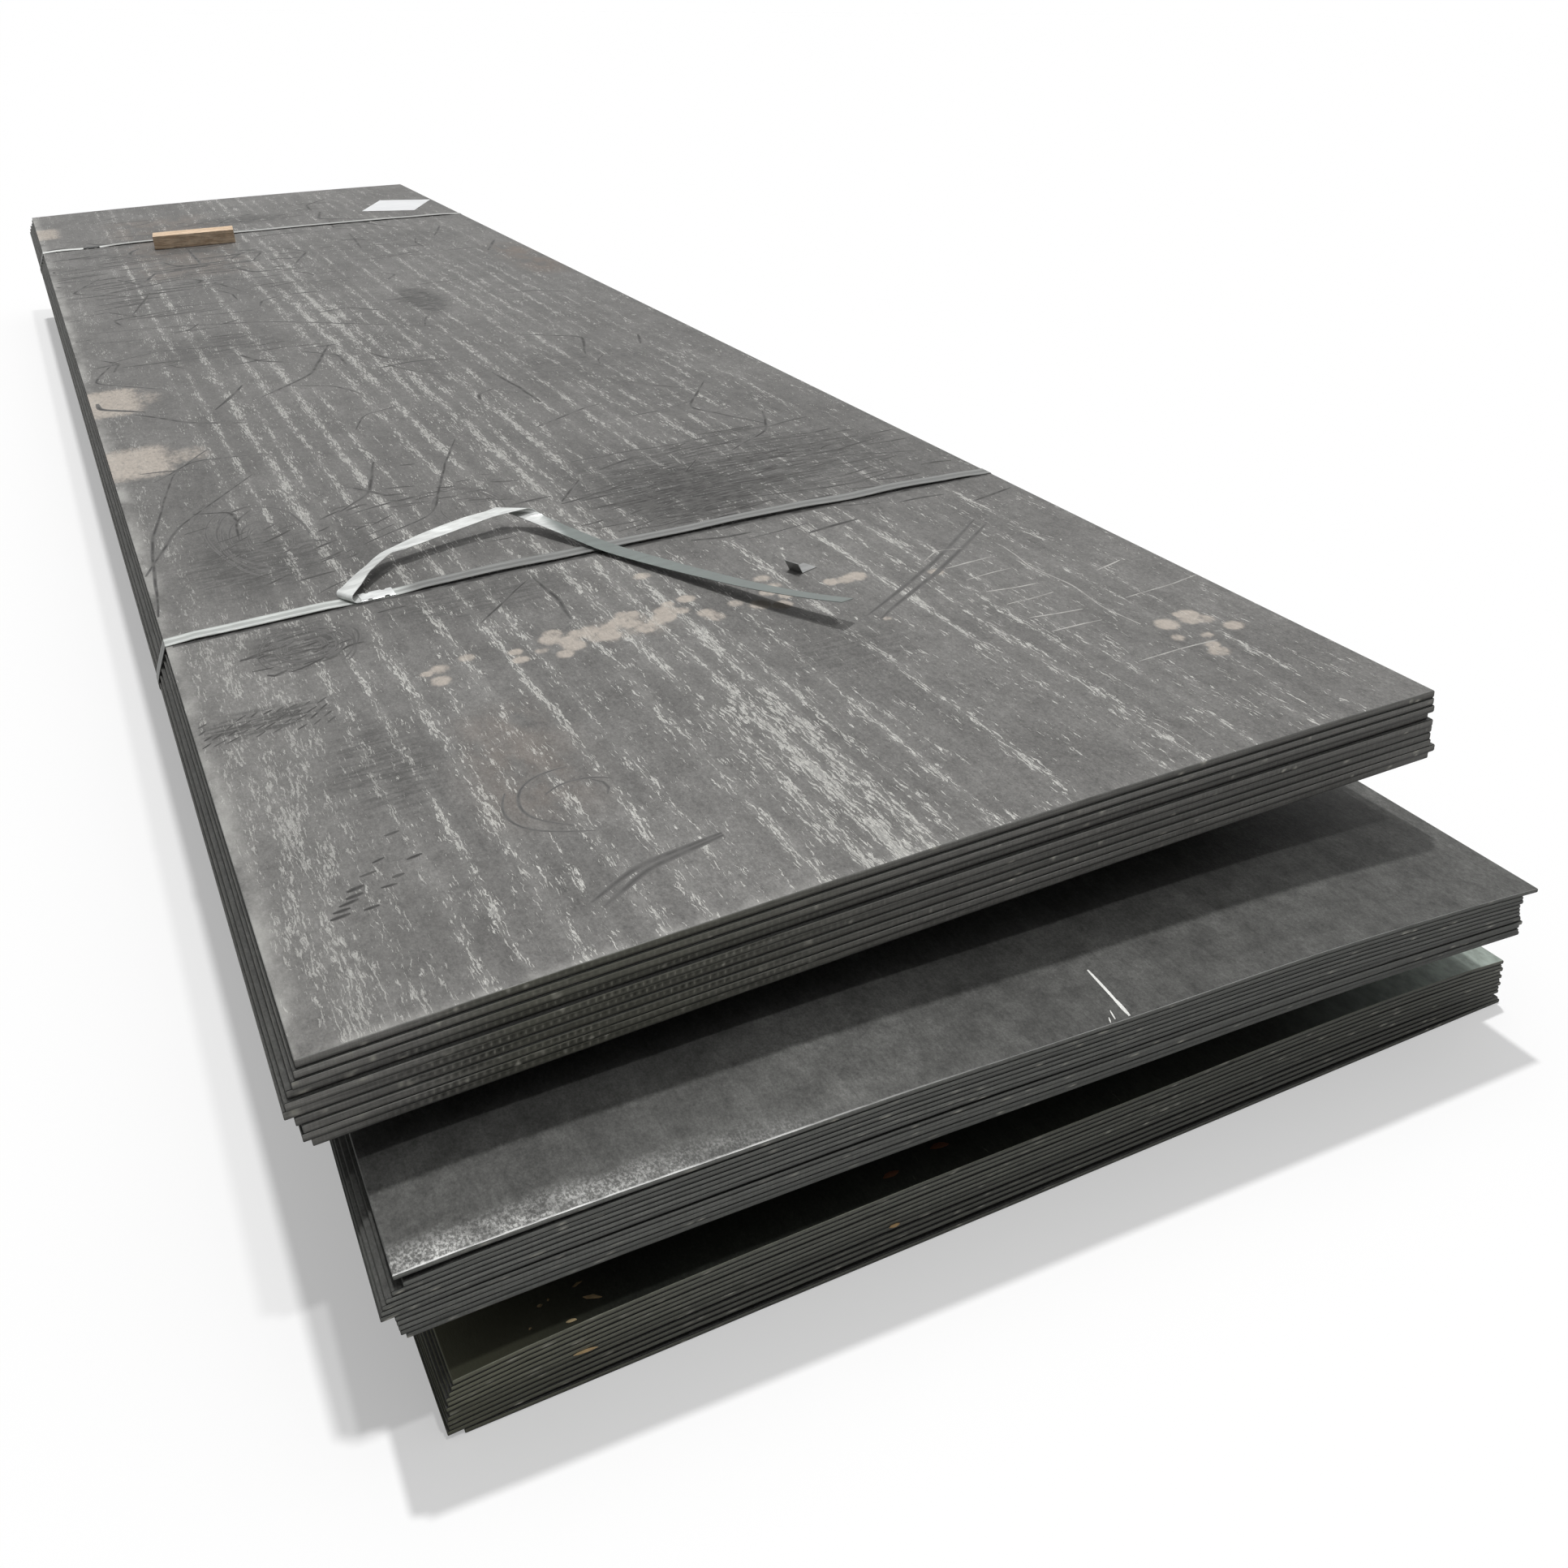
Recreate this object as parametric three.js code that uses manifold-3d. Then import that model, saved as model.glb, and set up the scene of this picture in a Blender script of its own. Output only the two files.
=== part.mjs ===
// Stack of hot-rolled steel plate: three bundles, one above the other on timber, with two steel
// straps round the top bundle. One strap end has sprung loose, and a spare seal, a timber block
// and a blank card lie on the top plate.
//
// Millimetres, +Z up. X runs across the plates and Y along them, with the front end at -Y.
// The origin is at the middle of the stack's base.

import * as THREE from 'three';
import { mergeVertices } from 'three/addons/utils/BufferGeometryUtils.js';
import Module from 'manifold-3d';

// ---------------------------------------------------------------- driving dimensions

const PLATE_WIDTH = 1500;
const PLATE_LENGTH = 6000;
const PLATE_CLEARANCE = 0.3; // between two plates, and between any two pieces that touch
const PLATE_CHAMFER = 0.8; // on the long edges
const SECTION_STEPS = 20; // flats that a plate's curved section is made of
const SPRUNG_STEPS = 7; // flats along a plate's sprung corner
const SEAT_STEPS = 24; // points that a seat's height is taken at, along a timber

// Each list runs from the bundle's top plate down. An edge step is how far that plate's edge
// stands out past the nominal outline. A slant is how much further back a plate's ends lie at
// its right edge than at its left one. The crown is how much higher a plate's middle lies
// than its long edges: 2 as its flatness is a plain arch, and more flattens its top. The wave
// is the height of a ripple across the crown. A bundle's sprung corner is how far its top
// plate's front left corner stands up from the plate below, how far back along the plate that
// reaches, and how steeply it dies away across it.
const TOP_BUNDLE = {
  name: 'top_bundle',
  thickness: 10.5,
  offset: [-55, 137],
  yaw: -0.44,
  leftSteps: [0, 3, 7, 13, 17, 20, 11, 6, 8, 0],
  rightSteps: [0, 0, 1, -5, 2, 4, 3, 5, 15, 8],
  frontSteps: [0, 1, 2.5, -1.5, 2.5, 0.5, 1, 1.5, 1, -2],
  backSteps: [0, 6, -4, 9, 3, -5, 8, 2, -3, 5],
  slants: [0, 0, 0, 0, 0, 0, 0, 0, 0, 0],
  crowns: [7, 6.8, 6.6, 6.4, 6.2, 6, 5.8, 5.6, 5.4, 5.2],
  flatness: 2,
  wave: 0,
  color: 0x6f706e,
};
const MIDDLE_BUNDLE = {
  name: 'middle_bundle',
  thickness: 6,
  offset: [43, -35],
  yaw: -1.64,
  leftSteps: [0, -8, 3, 9, 13, 15, 16, 3, 2, 1, 0, -5],
  rightSteps: [0, -27, -25, -29, -28, -26, -24, -16, -12, -14, -15, -10],
  frontSteps: [0, 0, 0, 0, 0, 0, 0, 0, 0, 0, 0, 0],
  backSteps: [0, 7, 4, 9, -3, 6, 2, 5, 8, -4, 1, 3],
  slants: [0, 0, 0, 0, 0, 0, 0, 5, 4, 6, 5, 7],
  crowns: [16, 15.9, 15.8, 15.7, 15.6, 15.5, 15.4, 11.6, 11.5, 11.4, 11.3, 11.2],
  flatness: 3.5,
  wave: 1,
  sprungCorner: { height: 5.5, reach: 420, steepness: 5 },
  color: 0x5b5c59,
};
const BOTTOM_BUNDLE = {
  name: 'bottom_bundle',
  thickness: 6,
  offset: [0, 0],
  yaw: 0,
  leftSteps: [0, 2, 5, 8, 7, 9, 7, 9, 10, 9, 11, -6],
  rightSteps: [0, -3, 2, -2, 3, 0, 4, 1, 2, -8, 4, 9],
  frontSteps: [0, 0, 0, 0, 0, 0, 0, 0, 0, 0, 0, 0],
  backSteps: [0, -5, 6, 3, 8, -4, 5, 1, 7, -2, 4, -3],
  slants: [0, 0, 0, 0, 0, 0, 0, 0, 0, 0, 0, 0],
  crowns: [15.5, 15.5, 15.4, 14.2, 14, 13.8, 13.6, 13.4, 10.6, 9, 7.2, 0],
  flatness: 5,
  wave: 0.5,
  color: 0x4b4c48,
};

const WAVE_PITCH = 555; // from one crest of the ripple to the next
const WAVE_TROUGH = 90; // from the middle of a plate to a trough of its ripple

const LOWER_TIMBER_HEIGHT = 72; // bars between the bottom and middle bundles
const LOWER_TIMBER_WIDTH = 100;
const LOWER_TIMBER_INSET = 60; // from the plate's long edge to the bar's end
const PACKER_WIDTH = 100; // short blocks between the middle and top bundles
const PACKER_LENGTH = 300;
const PACKER_INSET = 100; // from the plate's long edge to the block
const TIMBER_END_INSET = 600; // from the plates' ends to the middle of the outer timbers
const LOW_SIDE_GAP = 47; // clear height under the top bundle's low, left edge
const TOP_TILT = 2.6; // degrees, right side up

const STRAP_WIDTH = 32;
const STRAP_THICKNESS = 0.9;
const STRAPS = [
  { name: 'front', fromEnd: 1115, skew: 0.8, sealFromLeft: 322 },
  { name: 'back', fromEnd: 988, skew: -1.9, sealFromLeft: 160 },
];
const SEAL_LENGTH = 54;
const SEAL_WALL = 1;
const SEAL_CRIMP_DEPTH = 5;
const SEAL_CRIMP_RADIUS = 4;
const SEAL_CRIMPS = [-0.25, 0.25]; // along the seal, as shares of its length
const SEAL_CRIMP_SIDES = 16;

// The loose strap end comes out of the front seal, folds back over itself, runs to the back
// right, folds under itself and comes forward over the strap. Each point is [x, y, height,
// roll]: x and y from the seal's left end, height above the strap that the seal holds, and
// roll in degrees, where 0 lies flat and 180 lies flat with its other face up.
const LOOSE_END_IN_SEAL = [
  [30, 0, 0, 0],
  [14, 0, 0, 0],
  [0, 0, 0, 0],
  [-14, 0, 0.3, 0],
];
const LOOSE_END_BACK_RUN = [
  [-3, 33, 13, 172],
  [20, 70, 15, 162],
  [47, 101, 17, 160],
  [74, 131, 19, 166],
  [100, 138, 21, 176],
  [140, 152, 24, 184],
  [186, 166, 27, 188],
  [231, 177, 30, 188],
  [270, 184, 32, 182],
  [312, 191, 33, 180],
];
const LOOSE_END_FRONT_RUN = [
  [350, 137, 18, 0],
  [370, 87, 14, -3],
  [390, 37, 10, -2],
  [409, -12, 7, 0],
  [428, -57, 6, 0],
  [453, -121, 8, 0],
  [480, -187, 10, -2],
  [509, -261, 14, -4],
  [537, -333, 19, -6],
  [565, -400, 25, -8],
  [594, -460, 31, -9],
  [622, -512, 37, -10],
];
// Headings run anticlockwise from the plates' width. The rise is 1 over and -1 under.
const FIRST_FOLD = { headingIn: 180, headingOut: 58, radius: 6, rise: 1 };
const SECOND_FOLD = { headingIn: -4, headingOut: -68, radius: 5, rise: -1 };
const FOLD_STEPS = 8;
const STEPS_BETWEEN_STATIONS = 2;

const LOOSE_SEAL = { fromSeal: [622, -278], flatLeg: 34, raisedLeg: 22, width: 30, bend: 118, turn: 20 };
const BLOCK = { fromLeft: 495, fromBack: 1145, length: 272, width: 96, height: 46, turn: -6 };
const CARD = { fromRight: 166, fromBack: 650, width: 210, length: 297, thickness: 0.4, turn: -26 };

const STEEL_STRAP = { color: 0x8d9290, roughness: 0.45, metalness: 0.8 };
const STEEL_SEAL = { color: 0xb9bdbb, roughness: 0.4, metalness: 0.85 };
const TIMBER = { color: 0xa88a68, roughness: 0.85, metalness: 0 };
const PAPER = { color: 0xe9e9e6, roughness: 0.8, metalness: 0 };

// ---------------------------------------------------------------- helpers

const radians = THREE.MathUtils.degToRad;

function makeMesh(name, geometry, material) {
  const mesh = new THREE.Mesh(geometry, new THREE.MeshStandardMaterial(material));
  mesh.name = name;
  return mesh;
}

// Extrudes an outline drawn in X and Z along Y, from yStart to yStart + depth.
function extrudeAlongY(shape, yStart, depth, steps = 1) {
  const geometry = new THREE.ExtrudeGeometry(shape, { depth, bevelEnabled: false, steps });
  geometry.rotateX(Math.PI / 2);
  geometry.translate(0, yStart + depth, 0);
  return geometry;
}

function moveVertices(geometry, move) {
  const position = geometry.attributes.position;
  const vertex = new THREE.Vector3();
  for (let i = 0; i < position.count; i += 1) {
    vertex.fromBufferAttribute(position, i);
    move(vertex);
    position.setXYZ(i, vertex.x, vertex.y, vertex.z);
  }
  return geometry;
}

// ---------------------------------------------------------------- the bundles

// How much higher a plate lies at x from the middle of the bundle than at its long edges. The
// ripple fades with the crown, so a plate with no crown is flat.
function crownHeight(bundle, row, x) {
  const across = Math.abs(x) / (PLATE_WIDTH / 2);
  const arch = 1 - across ** bundle.flatness;
  const ripple = -Math.cos((2 * Math.PI * (x - WAVE_TROUGH)) / WAVE_PITCH);
  const wave = (bundle.wave * bundle.crowns[row]) / bundle.crowns[0];
  return (bundle.crowns[row] + wave * ripple) * arch;
}

// Height of a plate's lower face at its long edges, above the bundle's own base.
function rowBase(bundle, row) {
  const rowsBelow = bundle.crowns.length - 1 - row;
  return rowsBelow * (bundle.thickness + PLATE_CLEARANCE);
}

function bundleHeight(bundle) {
  return rowBase(bundle, 0) + bundle.thickness;
}

// The plate's section across the bundle, as a closed list of points in X and Z.
function plateSection(bundle, row) {
  const left = -PLATE_WIDTH / 2 - bundle.leftSteps[row];
  const right = PLATE_WIDTH / 2 + bundle.rightSteps[row];
  const low = rowBase(bundle, row);
  const high = low + bundle.thickness;
  const inner = [];
  for (let step = 1; step < SECTION_STEPS; step += 1) {
    inner.push((step / SECTION_STEPS - 0.5) * PLATE_WIDTH);
  }
  const crowned = (x, z) => new THREE.Vector2(x, z + crownHeight(bundle, row, x));
  const edge = PLATE_CHAMFER;
  return [
    crowned(left, low + edge),
    crowned(left + edge, low),
    ...inner.map((x) => crowned(x, low)),
    crowned(right - edge, low),
    crowned(right, low + edge),
    crowned(right, high - edge),
    crowned(right - edge, high),
    ...inner.reverse().map((x) => crowned(x, high)),
    crowned(left + edge, high),
    crowned(left, high - edge),
  ];
}

// Lifts a plate's front left corner in a curve that starts level, where its reach ends. The
// plate has one step more than its sprung corner, and that last step is its straight run.
function springCorner(geometry, corner, front, back) {
  moveVertices(geometry, (vertex) => {
    const step = Math.round(((vertex.y - front) / (back - front)) * (SPRUNG_STEPS + 1));
    if (step > SPRUNG_STEPS) return;
    const share = step / SPRUNG_STEPS;
    const fromRight = THREE.MathUtils.clamp(0.5 - vertex.x / PLATE_WIDTH, 0, 1);
    vertex.y = front + share * corner.reach;
    vertex.z += corner.height * fromRight ** corner.steepness * (1 - share) ** 2;
  });
}

function makePlate(bundle, row) {
  const front = -PLATE_LENGTH / 2 - bundle.frontSteps[row];
  const back = PLATE_LENGTH / 2 + bundle.backSteps[row];
  const sprung = row === 0 && bundle.sprungCorner;
  const steps = sprung ? SPRUNG_STEPS + 1 : 1;
  const shape = new THREE.Shape(plateSection(bundle, row));
  const geometry = extrudeAlongY(shape, front, back - front, steps);
  if (sprung) springCorner(geometry, bundle.sprungCorner, front, back);
  moveVertices(geometry, (vertex) => {
    vertex.y += bundle.slants[row] * (vertex.x / PLATE_WIDTH + 0.5);
  });
  const name = `${bundle.name}_plate_${String(row + 1).padStart(2, '0')}`;
  return makeMesh(name, geometry, { color: bundle.color, roughness: 0.6, metalness: 0.75 });
}

// A bundle's group has its origin at the middle of its base, level with the lowest long edges.
function makeBundle(bundle, baseHeight, tilt) {
  const group = new THREE.Group();
  group.position.set(bundle.offset[0], bundle.offset[1], baseHeight);
  group.rotation.order = 'ZYX';
  group.rotation.z = radians(bundle.yaw);
  group.rotation.y = -radians(tilt);
  for (let row = 0; row < bundle.crowns.length; row += 1) {
    group.add(makePlate(bundle, row));
  }
  return group;
}

// Height of a bundle's face over the point x, y of the stack, or at the plate's edge where the
// point lies outside it. The level is the height of that face's long edges in the bundle's own
// frame.
function faceHeight(bundle, baseHeight, tilt, row, level, x, y) {
  const yaw = radians(bundle.yaw);
  const slope = radians(tilt);
  const run = (x - bundle.offset[0]) * Math.cos(yaw) + (y - bundle.offset[1]) * Math.sin(yaw);
  const edge = PLATE_WIDTH / 2;
  const across = THREE.MathUtils.clamp(run / Math.cos(slope), -edge, edge);
  const rise = level + crownHeight(bundle, row, across);
  return baseHeight + run * Math.tan(slope) + rise / Math.cos(slope);
}

// ---------------------------------------------------------------- timbers between the bundles

function makeTimber(name, size, x, y, low) {
  const timber = makeMesh(name, new THREE.BoxGeometry(...size), TIMBER);
  timber.position.set(x, y, low + size[2] / 2);
  return timber;
}

// Where the three rows of timber lie along Y.
function timberRows() {
  const outer = PLATE_LENGTH / 2 - TIMBER_END_INSET;
  return [-outer, 0, outer];
}

function lowerTimberLength() {
  return PLATE_WIDTH - 2 * LOWER_TIMBER_INSET;
}

function makeLowerTimber(index, low) {
  const size = [lowerTimberLength(), LOWER_TIMBER_WIDTH, LOWER_TIMBER_HEIGHT];
  return makeTimber(`lower_timber_${index + 1}`, size, 0, timberRows()[index], low);
}

// Calls visit for points spread over a rectangle.
function overRectangle(x, y, width, length, visit) {
  for (const along of [-0.5, 0, 0.5]) {
    for (let step = 0; step <= SEAT_STEPS; step += 1) {
      visit(x + (step / SEAT_STEPS - 0.5) * width, y + along * length);
    }
  }
}

// A block fills the height that the two bundles leave where it lies.
function makePacker(name, x, y, floorAt, ceilingAt) {
  let low = -Infinity;
  let high = Infinity;
  overRectangle(x, y, PACKER_WIDTH, PACKER_LENGTH, (pointX, pointY) => {
    low = Math.max(low, floorAt(pointX, pointY));
    high = Math.min(high, ceilingAt(pointX, pointY));
  });
  const height = high - low - 2 * PLATE_CLEARANCE;
  const size = [PACKER_WIDTH, PACKER_LENGTH, height];
  return makeTimber(name, size, x, y, low + PLATE_CLEARANCE);
}

// ---------------------------------------------------------------- straps and seals

// The convex outline round a set of points, anticlockwise (Andrew's monotone chain).
function convexOutline(points) {
  const sorted = [...points].sort((a, b) => a.x - b.x || a.y - b.y);
  const turn = (o, a, b) => (a.x - o.x) * (b.y - o.y) - (a.y - o.y) * (b.x - o.x);
  const chain = (list) => {
    const kept = [];
    for (const point of list) {
      while (kept.length > 1 && turn(kept.at(-2), kept.at(-1), point) <= 1e-6) kept.pop();
      kept.push(point);
    }
    return kept.slice(0, -1);
  };
  return [...chain(sorted), ...chain(sorted.reverse())];
}

// Moves every side of a convex anticlockwise outline out by a distance.
function growOutline(outline, distance) {
  return outline.map((point, i) => {
    const before = outline.at(i - 1);
    const after = outline[(i + 1) % outline.length];
    const sideIn = point.clone().sub(before).normalize();
    const sideOut = after.clone().sub(point).normalize();
    const normalIn = new THREE.Vector2(sideIn.y, -sideIn.x);
    const normalOut = new THREE.Vector2(sideOut.y, -sideOut.x);
    const middle = normalIn.clone().add(normalOut).normalize();
    return point.clone().addScaledVector(middle, distance / middle.dot(normalIn));
  });
}

function makeStrap(strap, bundle) {
  const points = bundle.crowns.flatMap((_, row) => plateSection(bundle, row));
  const outline = convexOutline(points);
  const shape = new THREE.Shape(growOutline(outline, PLATE_CLEARANCE + STRAP_THICKNESS));
  shape.holes.push(new THREE.Path(growOutline(outline, PLATE_CLEARANCE)));
  const geometry = extrudeAlongY(shape, -STRAP_WIDTH / 2, STRAP_WIDTH);
  moveVertices(geometry, (vertex) => {
    vertex.y += strapY(strap, vertex.x);
  });
  return makeMesh(`${strap.name}_strap`, geometry, STEEL_STRAP);
}

// Where a strap crosses the top plate, at x from the middle of the bundle.
function strapY(strap, x) {
  const fromMiddle = PLATE_LENGTH / 2 - strap.fromEnd;
  const middleY = strap.name === 'front' ? -fromMiddle : fromMiddle;
  return middleY + x * Math.tan(radians(strap.skew));
}

function sealX(strap) {
  return -PLATE_WIDTH / 2 + strap.sealFromLeft;
}

// The seal is a sheet channel over two layers of strap, with pairs of crimps bitten out of its
// two sides.
function sealGeometry(wasm) {
  const layers = 2 * STRAP_THICKNESS + 2 * PLATE_CLEARANCE;
  const innerHalf = STRAP_WIDTH / 2 + PLATE_CLEARANCE;
  const outerHalf = innerHalf + SEAL_WALL;
  const ceiling = layers + PLATE_CLEARANCE;
  const profile = new THREE.Shape([
    new THREE.Vector2(-outerHalf, 0),
    new THREE.Vector2(-innerHalf, 0),
    new THREE.Vector2(-innerHalf, ceiling),
    new THREE.Vector2(innerHalf, ceiling),
    new THREE.Vector2(innerHalf, 0),
    new THREE.Vector2(outerHalf, 0),
    new THREE.Vector2(outerHalf, ceiling + SEAL_WALL / 2),
    new THREE.Vector2(outerHalf - SEAL_WALL, ceiling + SEAL_WALL),
    new THREE.Vector2(SEAL_WALL - outerHalf, ceiling + SEAL_WALL),
    new THREE.Vector2(-outerHalf, ceiling + SEAL_WALL / 2),
  ]);
  const channel = extrudeAlongY(profile, -SEAL_LENGTH / 2, SEAL_LENGTH).rotateZ(Math.PI / 2);
  let solid = toSolid(wasm, channel);
  for (const share of SEAL_CRIMPS) {
    for (const side of [-1, 1]) {
      const bite = new THREE.CylinderGeometry(
        SEAL_CRIMP_RADIUS, SEAL_CRIMP_RADIUS, 4 * ceiling, SEAL_CRIMP_SIDES,
      );
      bite.rotateX(Math.PI / 2);
      const reach = outerHalf + SEAL_CRIMP_RADIUS - SEAL_CRIMP_DEPTH;
      bite.translate(share * SEAL_LENGTH, side * reach, ceiling / 2);
      solid = solid.subtract(toSolid(wasm, bite));
    }
  }
  return fromSolid(solid);
}

function makeSeal(strap, bundle, geometry) {
  const x = sealX(strap);
  const turned = geometry.clone().rotateZ(radians(strap.skew));
  const seal = makeMesh(`${strap.name}_seal`, turned, STEEL_SEAL);
  restOnTop(seal, bundle, x, strapY(strap, x), PLATE_CLEARANCE, SEAL_LENGTH / 2);
  return seal;
}

// Height of the top plate's upper face in its bundle's own frame.
function topFace(bundle, x) {
  return bundleHeight(bundle) + crownHeight(bundle, 0, x);
}

// Lays a piece on the crowned top plate at x, y, tipped to the plate's slope there.
function restOnTop(piece, bundle, x, y, gap, halfLength) {
  const rise = topFace(bundle, x + halfLength) - topFace(bundle, x - halfLength);
  piece.rotation.y = -Math.atan2(rise, 2 * halfLength);
  piece.position.set(x, y, topFace(bundle, x) + gap);
}

// ---------------------------------------------------------------- solids for cuts

function toSolid(wasm, geometry) {
  const bare = geometry.clone();
  bare.deleteAttribute('normal');
  bare.deleteAttribute('uv');
  const merged = mergeVertices(bare, 1e-4);
  const vertProperties = new Float32Array(merged.attributes.position.array);
  const triVerts = new Uint32Array(merged.index.array);
  return new wasm.Manifold(new wasm.Mesh({ numProp: 3, vertProperties, triVerts }));
}

function fromSolid(solid) {
  const { vertProperties, triVerts } = solid.getMesh();
  const geometry = new THREE.BufferGeometry();
  geometry.setAttribute('position', new THREE.BufferAttribute(vertProperties, 3));
  geometry.setIndex(new THREE.BufferAttribute(triVerts, 1));
  geometry.computeVertexNormals();
  return geometry;
}

// ---------------------------------------------------------------- loose pieces on the top plate

function headingVector(degrees) {
  return new THREE.Vector3(Math.cos(radians(degrees)), Math.sin(radians(degrees)), 0);
}

// A strip folds over where it wraps half round a bend. The bend's axis lies level between the
// two headings, and the strip's sections lie along it.
function foldStations([startX, startY, startHeight, roll], fold) {
  const inward = headingVector(fold.headingIn);
  const outward = headingVector(fold.headingOut);
  const across = outward.clone().sub(inward).normalize();
  const axis = new THREE.Vector3(0, 0, 1).cross(across);
  const slip = outward.dot(axis) / outward.dot(across);
  const halfSection = STRAP_WIDTH / 2 / outward.dot(across);
  const side = axis.clone().multiplyScalar(-Math.cos(radians(roll)) * halfSection);
  const stations = [];
  for (let step = 0; step <= FOLD_STEPS; step += 1) {
    const turn = (Math.PI * step) / FOLD_STEPS;
    const place = new THREE.Vector3(startX, startY, startHeight);
    place.addScaledVector(axis, fold.radius * turn * slip);
    place.addScaledVector(across, -fold.radius * Math.sin(turn));
    place.z += fold.rise * fold.radius * (1 - Math.cos(turn));
    stations.push({ place, side });
  }
  return stations;
}

function runStations(points) {
  return points.map(([x, y, height, roll]) => ({ place: new THREE.Vector3(x, y, height), roll }));
}

// The places that the loose end's route passes, each with the section's side or its roll. A
// fold stands in for the last point of the run before it.
function looseEndStations() {
  return [
    ...runStations(LOOSE_END_IN_SEAL.slice(0, -1)),
    ...foldStations(LOOSE_END_IN_SEAL.at(-1), FIRST_FOLD),
    ...runStations(LOOSE_END_BACK_RUN.slice(0, -1)),
    ...foldStations(LOOSE_END_BACK_RUN.at(-1), SECOND_FOLD),
    ...runStations(LOOSE_END_FRONT_RUN),
  ];
}

// Half of a section, from the middle of the strip to its edge, for a strip rolled by an angle.
function rolledSide(tangent, roll) {
  const level = new THREE.Vector3(0, 0, 1).cross(tangent).normalize();
  return level.applyAxisAngle(tangent, radians(roll)).multiplyScalar(STRAP_WIDTH / 2);
}

// A flat strip swept along the route.
function makeLooseEnd(bundle) {
  const strap = STRAPS[0];
  const rootX = sealX(strap) - SEAL_LENGTH / 2;
  const rootHeight = PLATE_CLEARANCE * 2 + STRAP_THICKNESS * 1.5;
  const stations = looseEndStations();
  const centres = stations.map(({ place }) => {
    const x = rootX + place.x;
    const y = strapY(strap, x) + place.y;
    return new THREE.Vector3(x, y, topFace(bundle, x) + rootHeight + place.z);
  });
  const centreLine = new THREE.CatmullRomCurve3(centres, false, 'centripetal');
  const spans = stations.length - 1;
  const sides = stations.map(({ side, roll }, i) => {
    return side ?? rolledSide(centreLine.getTangent(i / spans), roll);
  });
  const steps = spans * STEPS_BETWEEN_STATIONS;
  const positions = [];
  for (let step = 0; step <= steps; step += 1) {
    const centre = centreLine.getPoint(step / steps);
    const before = Math.min(Math.floor(step / STEPS_BETWEEN_STATIONS), spans - 1);
    const share = step / STEPS_BETWEEN_STATIONS - before;
    const side = sides[before].clone().lerp(sides[before + 1], share);
    const face = centreLine.getTangent(step / steps).cross(side).normalize();
    for (const [across, up] of [[-1, -1], [1, -1], [1, 1], [-1, 1]]) {
      const corner = centre.clone().addScaledVector(side, across);
      corner.addScaledVector(face, (up * STRAP_THICKNESS) / 2);
      positions.push(corner.x, corner.y, corner.z);
    }
  }
  return makeMesh('loose_strap_end', sweptGeometry(positions, steps), STEEL_STRAP);
}

// Closes a run of four-cornered sections into one body.
function sweptGeometry(positions, steps) {
  const index = [];
  for (let step = 0; step < steps; step += 1) {
    for (let corner = 0; corner < 4; corner += 1) {
      const a = step * 4 + corner;
      const b = step * 4 + ((corner + 1) % 4);
      index.push(a, b, b + 4, a, b + 4, a + 4);
    }
  }
  const last = steps * 4;
  index.push(0, 2, 1, 0, 3, 2);
  index.push(last, last + 1, last + 2, last, last + 2, last + 3);
  const geometry = new THREE.BufferGeometry();
  geometry.setAttribute('position', new THREE.Float32BufferAttribute(positions, 3));
  geometry.setIndex(index);
  geometry.computeVertexNormals();
  return geometry;
}

// A spare seal that was bent open: one leg lies on the plate and the other leans up from it.
function makeLooseSeal(bundle) {
  const { fromSeal, flatLeg, raisedLeg, width, bend, turn } = LOOSE_SEAL;
  const angle = radians(bend);
  const inside = SEAL_WALL / Math.sin(angle / 2);
  const along = new THREE.Vector2(Math.cos(angle), Math.sin(angle));
  const across = new THREE.Vector2(Math.sin(angle), -Math.cos(angle));
  const raisedEnd = along.clone().multiplyScalar(raisedLeg);
  const shape = new THREE.Shape([
    new THREE.Vector2(0, 0),
    new THREE.Vector2(flatLeg, 0),
    new THREE.Vector2(flatLeg, SEAL_WALL),
    new THREE.Vector2(inside * Math.cos(angle / 2), inside * Math.sin(angle / 2)),
    raisedEnd.clone().addScaledVector(across, SEAL_WALL),
    raisedEnd,
  ]);
  const geometry = extrudeAlongY(shape, -width / 2, width).rotateZ(radians(turn));
  const seal = makeMesh('loose_seal', geometry, STEEL_SEAL);
  const strap = STRAPS[0];
  const x = sealX(strap) + fromSeal[0];
  restOnTop(seal, bundle, x, strapY(strap, x) + fromSeal[1], PLATE_CLEARANCE, flatLeg);
  return seal;
}

function makeBlock(bundle) {
  const { fromLeft, fromBack, length, width, height, turn } = BLOCK;
  const geometry = new THREE.BoxGeometry(length, width, height);
  geometry.rotateZ(radians(turn)).translate(0, 0, height / 2);
  const block = makeMesh('timber_block', geometry, TIMBER);
  const x = -PLATE_WIDTH / 2 + fromLeft;
  const y = PLATE_LENGTH / 2 - fromBack;
  restOnTop(block, bundle, x, y, PLATE_CLEARANCE, length / 2);
  return block;
}

// The card follows the crown of the plate that it lies on.
function makeCard(bundle) {
  const { fromRight, fromBack, width, length, thickness, turn } = CARD;
  const geometry = new THREE.BoxGeometry(width, length, thickness, 6, 6, 1);
  geometry.rotateZ(radians(turn));
  geometry.translate(PLATE_WIDTH / 2 - fromRight, PLATE_LENGTH / 2 - fromBack, 0);
  moveVertices(geometry, (vertex) => {
    vertex.z += topFace(bundle, vertex.x) + PLATE_CLEARANCE + thickness / 2;
  });
  return makeMesh('blank_card', geometry, PAPER);
}

// ---------------------------------------------------------------- the stack

const wasm = await Module();
wasm.setup();

const stack = new THREE.Group();
stack.add(makeBundle(BOTTOM_BUNDLE, 0, 0));

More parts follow.
